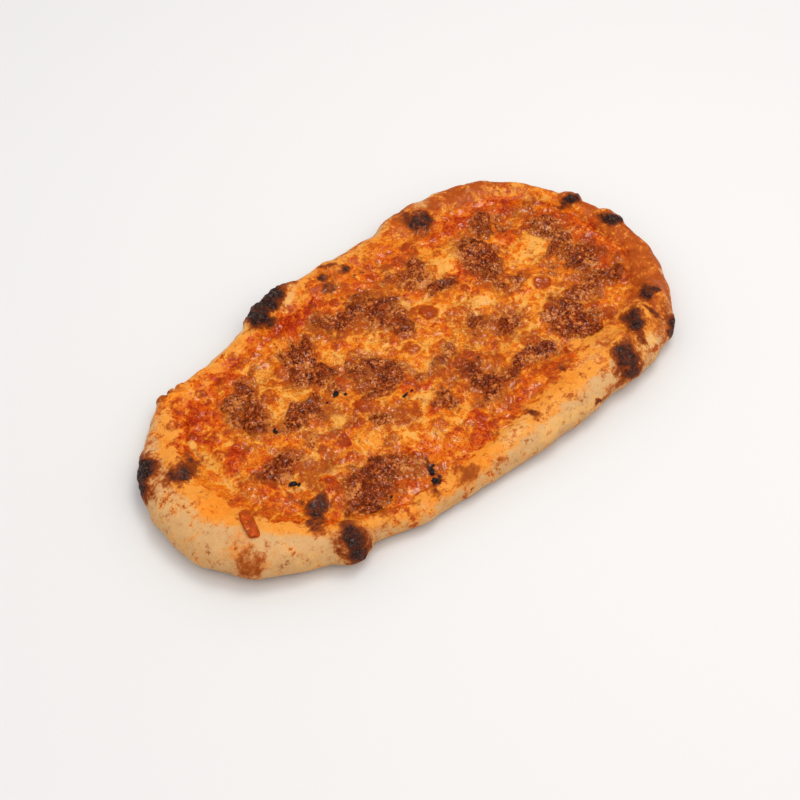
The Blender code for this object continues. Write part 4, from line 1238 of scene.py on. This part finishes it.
def scatter_tree():
    """Geometry nodes that scatter shapes over a surface, closest where the value named mince is high."""
    tree = bpy.data.node_groups.new("Scattered crumbs", "GeometryNodeTree")
    tree.is_modifier = True
    sockets = {"Geometry": "Geometry", "Shapes": "Collection", "Finish": "Material", "Seed": "Int"}
    sockets.update(dict.fromkeys(("Spacing", "Smallest", "Largest", "Least Cover"), "Float"))
    for name, kind in sockets.items():
        tree.interface.new_socket(name, in_out="INPUT", socket_type="NodeSocket" + kind)
    tree.interface.new_socket("Geometry", in_out="OUTPUT", socket_type="NodeSocketGeometry")
    given = add(tree, "NodeGroupInput").outputs

    def step(kind, inputs, output="Geometry", **settings):
        """One of the outputs of a geometry node."""
        return add(tree, "GeometryNode" + kind, inputs, **settings).outputs[output]

    def drawn(kind, pair, least, most, seed):
        """A value drawn for each crumb. Pair is the place of the kind's sockets on the Random Value node."""
        inputs = {2 * pair: least, 2 * pair + 1: most, "Seed": seed}
        return add(tree, "FunctionNodeRandomValue", inputs, data_type=kind).outputs[pair]

    mince = step("InputNamedAttribute", {"Name": "mince"}, "Attribute", data_type="FLOAT")
    likely = {"Value": mince, "From Min": given["Least Cover"], "From Max": 1.0}
    strewn = {
        "Mesh": given["Geometry"],
        "Distance Min": given["Spacing"],
        "Density Max": MOST_CRUMBS,
        "Density Factor": add(tree, "ShaderNodeMapRange", likely).outputs["Result"],
        "Seed": given["Seed"],
    }
    points = step("DistributePointsOnFaces", strewn, "Points", distribute_method="POISSON")
    shapes = {"Collection": given["Shapes"], "Separate Children": True, "Reset Children": True}
    crumbs = {
        "Points": step("SetPosition", {"Geometry": points, "Offset": (0.0, 0.0, -CRUMB_SINK)}),
        "Instance": step("CollectionInfo", shapes, "Instances"),
        "Pick Instance": True,
        "Instance Index": drawn("INT", 2, 0, CRUMB_SHAPES - 1, 3),
        "Rotation": drawn("FLOAT_VECTOR", 0, (0.0, 0.0, 0.0), (math.tau, math.tau, math.tau), 1),
        "Scale": drawn("FLOAT", 1, given["Smallest"], given["Largest"], 2),
    }
    shade = {
        "Geometry": step("InstanceOnPoints", crumbs, "Instances"),
        "Name": "shade",
        "Value": drawn("FLOAT", 1, 0.0, 1.0, 4),
    }
    toned = step("StoreNamedAttribute", shade, data_type="FLOAT", domain="INSTANCE")
    smooth = step("SetShadeSmooth", {"Geometry": step("RealizeInstances", {"Geometry": toned})})
    done = step("SetMaterial", {"Geometry": smooth, "Material": given["Finish"]})
    fill(tree, tree.nodes.new("NodeGroupOutput"), {"Geometry": done})
    return tree


def build_crumbs(settings, top):
    """Single crumbs on top of the clumps, scattered by geometry nodes."""
    holder = linked("crumb ground", bpy.data.objects["mince_clumps"].data.copy())
    shapes = crumb_shapes()
    modifier = holder.modifiers.new("Scatter", "NODES")
    modifier.node_group = scatter_tree()
    values = {
        "Shapes": shapes,
        "Finish": mince_finish("Mince crumbs", settings, top),
        "Spacing": settings.crumb_spacing,
        "Smallest": settings.crumb_width * CRUMB_SIZES[0],
        "Largest": settings.crumb_width * CRUMB_SIZES[1],
        "Least Cover": CRUMBS_FROM,
        "Seed": settings.crumb_seed,
    }
    for item in modifier.node_group.interface.items_tree:
        if item.in_out == "INPUT" and item.name in values:
            modifier[item.identifier] = values[item.name]
    graph = bpy.context.evaluated_depsgraph_get()
    scattered = holder.evaluated_get(graph)
    mesh = bpy.data.meshes.new_from_object(scattered, preserve_all_data_layers=True, depsgraph=graph)
    mesh.name = "mince_crumbs"
    crumbs = linked("mince_crumbs", mesh)
    for helper in (holder, *shapes.objects):
        bpy.data.objects.remove(helper)
    bpy.data.collections.remove(shapes)
    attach(crumbs, "root")


def surface_under(x, y, rim):
    """The height of the finished bread at each point: the dough's, or the topping's where that covers it."""
    melted = topping_surface(rim, x, y, look_at(rim, x, y))
    return np.where(reach_in(rim, x, y) > TOPPING_FROM, melted, topping_height(x, y, rim))


def build_burnt_crumbs(settings):
    rim = Rim(FINE_SAMPLES)
    draw = random.Random(BURNT_SEED)
    bm = bmesh.new()
    for x, y, length, width, turn in BURNT_CRUMBS:
        ground = surface_under(np.array([x * MM]), np.array([y * MM]), rim)[0]
        spread = (BURNT_SPREAD * length * MM, BURNT_SPREAD * width * MM)
        size = Matrix.Diagonal((*spread, min(length, width) * BURNT_HEIGHT * MM, 1.0))
        place = Matrix.Translation((x * MM, y * MM, ground + BURNT_RISE))
        turned = place @ Matrix.Rotation(math.radians(turn), 4, "Z") @ size
        made = bmesh.ops.create_icosphere(bm, subdivisions=3, radius=0.5)["verts"]
        shift = Vector((draw.uniform(0, 50), 0, 0))
        for vert in made:
            coarse, fine = noise.noise(vert.co * 3.0 + shift), noise.noise(vert.co * 8.0 + shift)
            vert.co *= 1.0 + 0.5 * coarse + 0.3 * fine
            vert.co = turned @ vert.co
    crumbs = new_object("burnt_crumbs", bm, burnt_finish(settings))
    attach(crumbs, "root")


def build_strip(settings):
    """The crisped strip: a rounded flap that lies on the rim, with its edges curling up."""
    rim = Rim(FINE_SAMPLES)
    length, width, thickness = STRIP_SIZE
    c, s = math.cos(STRIP_TURN), math.sin(STRIP_TURN)
    middle = np.array(STRIP_AT)

    def shares(x, y):
        """How far off its long axis each point is, and how far out in all: each 1 at the strip's edge."""
        dx, dy = x - middle[0], y - middle[1]
        u, v = np.abs(dx * c + dy * s) / (length / 2), np.abs(dy * c - dx * s) / (width / 2)
        return v, (u ** STRIP_SQUARENESS + v ** STRIP_SQUARENESS) ** (1 / STRIP_SQUARENESS)

    def inside(x, y):
        return shares(x, y)[1] + lumpy(flat(x, y), (STRIP_EDGE,)) < 1.0

    reach = np.array((length, length)) * 0.6
    x, y, faces = grid_sheet(middle - reach, middle + reach, STRIP_PITCH, inside)
    off_axis, out = shares(x, y)
    near = np.clip(out, 0.0, 1.0)
    curl = lumpy(flat(x, y), STRIP_RELIEF, STRIP_CURL * smoothstep(0.5, 1.0, off_axis))
    ground = topping_height(x, y, rim)
    bm = sheet_mesh(x, y, ground + thickness * np.sqrt(1.02 - near ** 4) + curl, faces)
    close_below(bm, float(ground.min()) - CLEAR)
    strip = new_object("crisped_strip", bm, strip_finish(settings))
    count = len(strip.data.vertices)
    set_values(strip, browned=padded_out(0.35 * smoothstep(0.5, 1.0, near), count), charred=np.zeros(count))
    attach(strip, "root")
    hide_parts("baked_strip")


def build_stage(settings):
    """A pale floor, soft lights and the camera."""
    bm = bmesh.new()
    bmesh.ops.create_grid(bm, x_segments=1, y_segments=1, size=FLOOR_SIZE)
    mesh = bpy.data.meshes.new("floor")
    bm.to_mesh(mesh)
    bm.free()
    floor = linked("floor", mesh)
    finish, tree, shader = new_finish("Pale floor")
    colour = mixed(tree, mottle(tree, 0.4), settings.floor, settings.floor_shade)
    dress(tree, shader, colour, 0.6, 0.2)
    mesh.materials.append(finish)
    for name, place, size, power in LIGHTS:
        lamp = bpy.data.lights.new(name, "AREA")
        lamp.shape, lamp.size, lamp.energy = "DISK", size, power * settings.brightness
        lamp.color = settings.lamp
        light = linked(name, lamp)
        light.location = place
        light.rotation_euler = (-Vector(place)).to_track_quat("-Z", "Y").to_euler()
    world = bpy.data.worlds.new("soft room")
    world.use_nodes = True
    tree = world.node_tree
    mirrored = add(tree, "ShaderNodeLightPath").outputs["Is Glossy Ray"]
    strength = times(tree, reckon(tree, "MULTIPLY_ADD", mirrored, -ROOM_DULLED, 1.0), settings.sky_strength)
    fill(tree, tree.nodes["Background"], {"Color": settings.sky, "Strength": strength})
    bpy.context.scene.world = world
    lens = bpy.data.cameras.new("camera")
    lens.sensor_width, lens.lens, lens.clip_start = SENSOR, LENS, NEAREST_SEEN
    camera = linked("camera", lens)
    right, forward = Vector(VIEW_RIGHT), Vector(VIEW_FORWARD)
    turn = Matrix((right, right.cross(forward), -forward)).transposed()
    camera.matrix_world = Matrix.Translation(VIEW_FROM) @ turn.to_4x4()
    bpy.context.scene.camera = camera
    bpy.context.scene.view_settings.view_transform = "Standard"
    bpy.context.scene.view_settings.look = "Medium High Contrast"


# ---------------------------------------------------------------- settings a user would change


def colour_setting(name, description, default):
    return FloatVectorProperty(
        name=name, description=description, default=default, subtype="COLOR", size=3, min=0.0, max=1.0
    )


def length_setting(name, description, default, most):
    text = {"name": name, "description": description}
    return FloatProperty(**text, default=default, subtype="DISTANCE", unit="LENGTH", min=0.0, max=most)


def strength_setting(name, description, default):
    return FloatProperty(name=name, description=description, default=default, subtype="UNSIGNED", min=0.0)


class BREAD_PG_top(bpy.types.PropertyGroup):
    pale: colour_setting("Pale", "Dough that nothing ran over", (0.60, 0.372, 0.175))
    golden: colour_setting("Golden", "Dough that the oil stained", (0.73, 0.300, 0.050))
    oiled: colour_setting("Oiled", "Dough under a film of orange oil", (0.78, 0.238, 0.008))
    ruddy: colour_setting("Ruddy", "Dough that baked redder", (0.41, 0.066, 0.007))
    crisp: colour_setting("Crisp", "Where that went on to brown", (0.24, 0.036, 0.005))
    # Also lightens the north fold ridge, where it is partly a painted highlight
    cream_dough: colour_setting("Cream dough", "Folds left palest", (0.72, 0.42, 0.155))
    freckle: colour_setting("Freckle", "Small toasted freckles", (0.52, 0.17, 0.03))
    cream: colour_setting("Cream", "Thick pale cheese", (0.72, 0.35, 0.080))
    gold: colour_setting("Gold", "Melted cheese", (0.71, 0.250, 0.020))
    orange: colour_setting("Orange", "Cheese with oil in it", (0.64, 0.170, 0.005))
    ember: colour_setting("Ember", "Thin cheese over tomato", (0.60, 0.115, 0.003))
    sauce: colour_setting("Sauce", "Tomato", (0.50, 0.070, 0.002))
    deep_sauce: colour_setting("Deep sauce", "Tomato where it is thick", (0.33, 0.024, 0.001))
    meat_juice: colour_setting("Meat juice", "Cheese stained by mince", (0.31, 0.070, 0.009))
    toast: colour_setting("Toast", "Toasted bubbles", (0.33, 0.058, 0.004))
    amber: colour_setting("Amber", "What has just begun to brown", (0.47, 0.112, 0.009))
    brown: colour_setting("Brown", "Toasted brown", (0.30, 0.066, 0.007))
    dark_brown: colour_setting("Dark brown", "Nearly burnt", (0.115, 0.028, 0.012))
    black: colour_setting("Black", "Burnt", (0.036, 0.014, 0.011))
    ash: colour_setting("Ash", "Specks on what burnt", (0.29, 0.22, 0.19))
    skin_depth: length_setting("Skin depth", "Depth of the fine bumps in the dough", 0.00042, 0.002)
    melted_depth: length_setting("Melted depth", "Depth of the fine bumps in the cheese", 0.00031, 0.002)


class BREAD_PG_mince(bpy.types.PropertyGroup):
    dark: colour_setting("Dark", "The darkest crumbs", (0.085, 0.010, 0.001))
    middle: colour_setting("Middle", "Most crumbs", (0.30, 0.050, 0.003))
    light: colour_setting("Light", "The lightest crumbs", (0.47, 0.125, 0.016))
    ruddy: colour_setting("Ruddy", "Crumbs that tomato stained", (0.36, 0.060, 0.003))
    coated: colour_setting("Coated", "Crumbs that cheese clings to", (0.62, 0.24, 0.062))
    black: colour_setting("Black", "Burnt crumbs", (0.020, 0.012, 0.014))
    ash: colour_setting("Ash", "Their lighter specks", (0.06, 0.04, 0.045))
    crumb_width: length_setting("Crumb width", "Mean width of a crumb", 0.0021, 0.01)
    crumb_spacing: length_setting("Crumb spacing", "Least gap between crumbs' middles", 0.0019, 0.01)
    clump_height: length_setting("Clump height", "How far a clump stands above the cheese", 0.0016, 0.01)
    relief_depth: length_setting("Skin depth", "Depth of the fine bumps", 0.0003, 0.002)
    grain_depth: length_setting("Burnt grain depth", "Depth of the bumps on burnt crumbs", 0.0002, 0.002)
    crumb_seed: IntProperty(name="Seed", description="Changes which way the crumbs fall", default=4, min=0)


class BREAD_PG_stage(bpy.types.PropertyGroup):
    floor: colour_setting("Floor", "The floor", (0.690, 0.680, 0.672))
    floor_shade: colour_setting("Floor shade", "Its faint unevenness", (0.680, 0.668, 0.658))
    lamp: colour_setting("Lamps", "The colour of the lamps", (1.0, 0.98, 0.95))
    sky: colour_setting("Room", "The light of the room", (1.0, 1.0, 1.0))
    sky_strength: strength_setting("Room light", "Strength of the room's light", 0.86)
    brightness: strength_setting("Lamp power", "Scales all lamps", 1.0)


# ---------------------------------------------------------------- operators


class BREAD_OT_dough(bpy.types.Operator):
    """Builds the baked dough with its blisters, folds and charred spots"""

    bl_idname = "bread.dough"
    bl_label = "Baked dough"

    def execute(self, context):
        build_crust(context.scene.bread_top)
        return {"FINISHED"}


class BREAD_OT_topping(bpy.types.Operator):
    """Builds the sheet of melted cheese and tomato"""

    bl_idname = "bread.topping"
    bl_label = "Cheese and tomato"

    def execute(self, context):
        build_topping(context.scene.bread_top)
        return {"FINISHED"}


class BREAD_OT_mince(bpy.types.Operator):
    """Builds the clumps of browned mince"""

    bl_idname = "bread.mince"
    bl_label = "Mince clumps"

    def execute(self, context):
        build_mince(context.scene.bread_mince, context.scene.bread_top)
        return {"FINISHED"}


class BREAD_OT_crumbs(bpy.types.Operator):
    """Scatters single crumbs of mince over the clumps"""

    bl_idname = "bread.crumbs"
    bl_label = "Mince crumbs"

    def execute(self, context):
        build_crumbs(context.scene.bread_mince, context.scene.bread_top)
        return {"FINISHED"}


class BREAD_OT_burnt(bpy.types.Operator):
    """Adds the few burnt crumbs"""

    bl_idname = "bread.burnt"
    bl_label = "Burnt crumbs"

    def execute(self, context):
        build_burnt_crumbs(context.scene.bread_mince)
        return {"FINISHED"}


class BREAD_OT_strip(bpy.types.Operator):
    """Lays the crisped strip on the rim"""

    bl_idname = "bread.strip"
    bl_label = "Crisped strip"

    def execute(self, context):
        build_strip(context.scene.bread_top)
        return {"FINISHED"}


class BREAD_OT_stage(bpy.types.Operator):
    """Sets the floor, lights and camera"""

    bl_idname = "bread.stage"
    bl_label = "Stage"

    def execute(self, context):
        build_stage(context.scene.bread_stage)
        return {"FINISHED"}


class BREAD_PT_panel(bpy.types.Panel):
    """Lists the bread's pieces and settings"""

    bl_label = "Loaded flatbread"
    bl_space_type = "VIEW_3D"
    bl_region_type = "UI"
    bl_category = "Bread"

    def draw(self, context):
        for operator in OPERATORS:
            self.layout.operator(operator.bl_idname)
        for name, group in SETTINGS.items():
            box = self.layout.box()
            for setting in group.__annotations__:
                box.prop(getattr(context.scene, name), setting)


SETTINGS = {"bread_top": BREAD_PG_top, "bread_mince": BREAD_PG_mince, "bread_stage": BREAD_PG_stage}
OPERATORS = (
    BREAD_OT_stage, BREAD_OT_dough, BREAD_OT_topping, BREAD_OT_mince,
    BREAD_OT_crumbs, BREAD_OT_burnt, BREAD_OT_strip,
)


def register():
    for cls in (*SETTINGS.values(), *OPERATORS, BREAD_PT_panel):
        bpy.utils.register_class(cls)
    for name, group in SETTINGS.items():
        setattr(bpy.types.Scene, name, PointerProperty(type=group))


def unregister():
    for name in SETTINGS:
        delattr(bpy.types.Scene, name)
    for cls in reversed((*SETTINGS.values(), *OPERATORS, BREAD_PT_panel)):
        bpy.utils.unregister_class(cls)


def main():
    register()
    bpy.ops.bread.stage()
    bpy.ops.bread.dough()
    bpy.ops.bread.topping()
    bpy.ops.bread.mince()
    bpy.ops.bread.crumbs()
    bpy.ops.bread.burnt()
    bpy.ops.bread.strip()


if __name__ == "__main__":
    main()
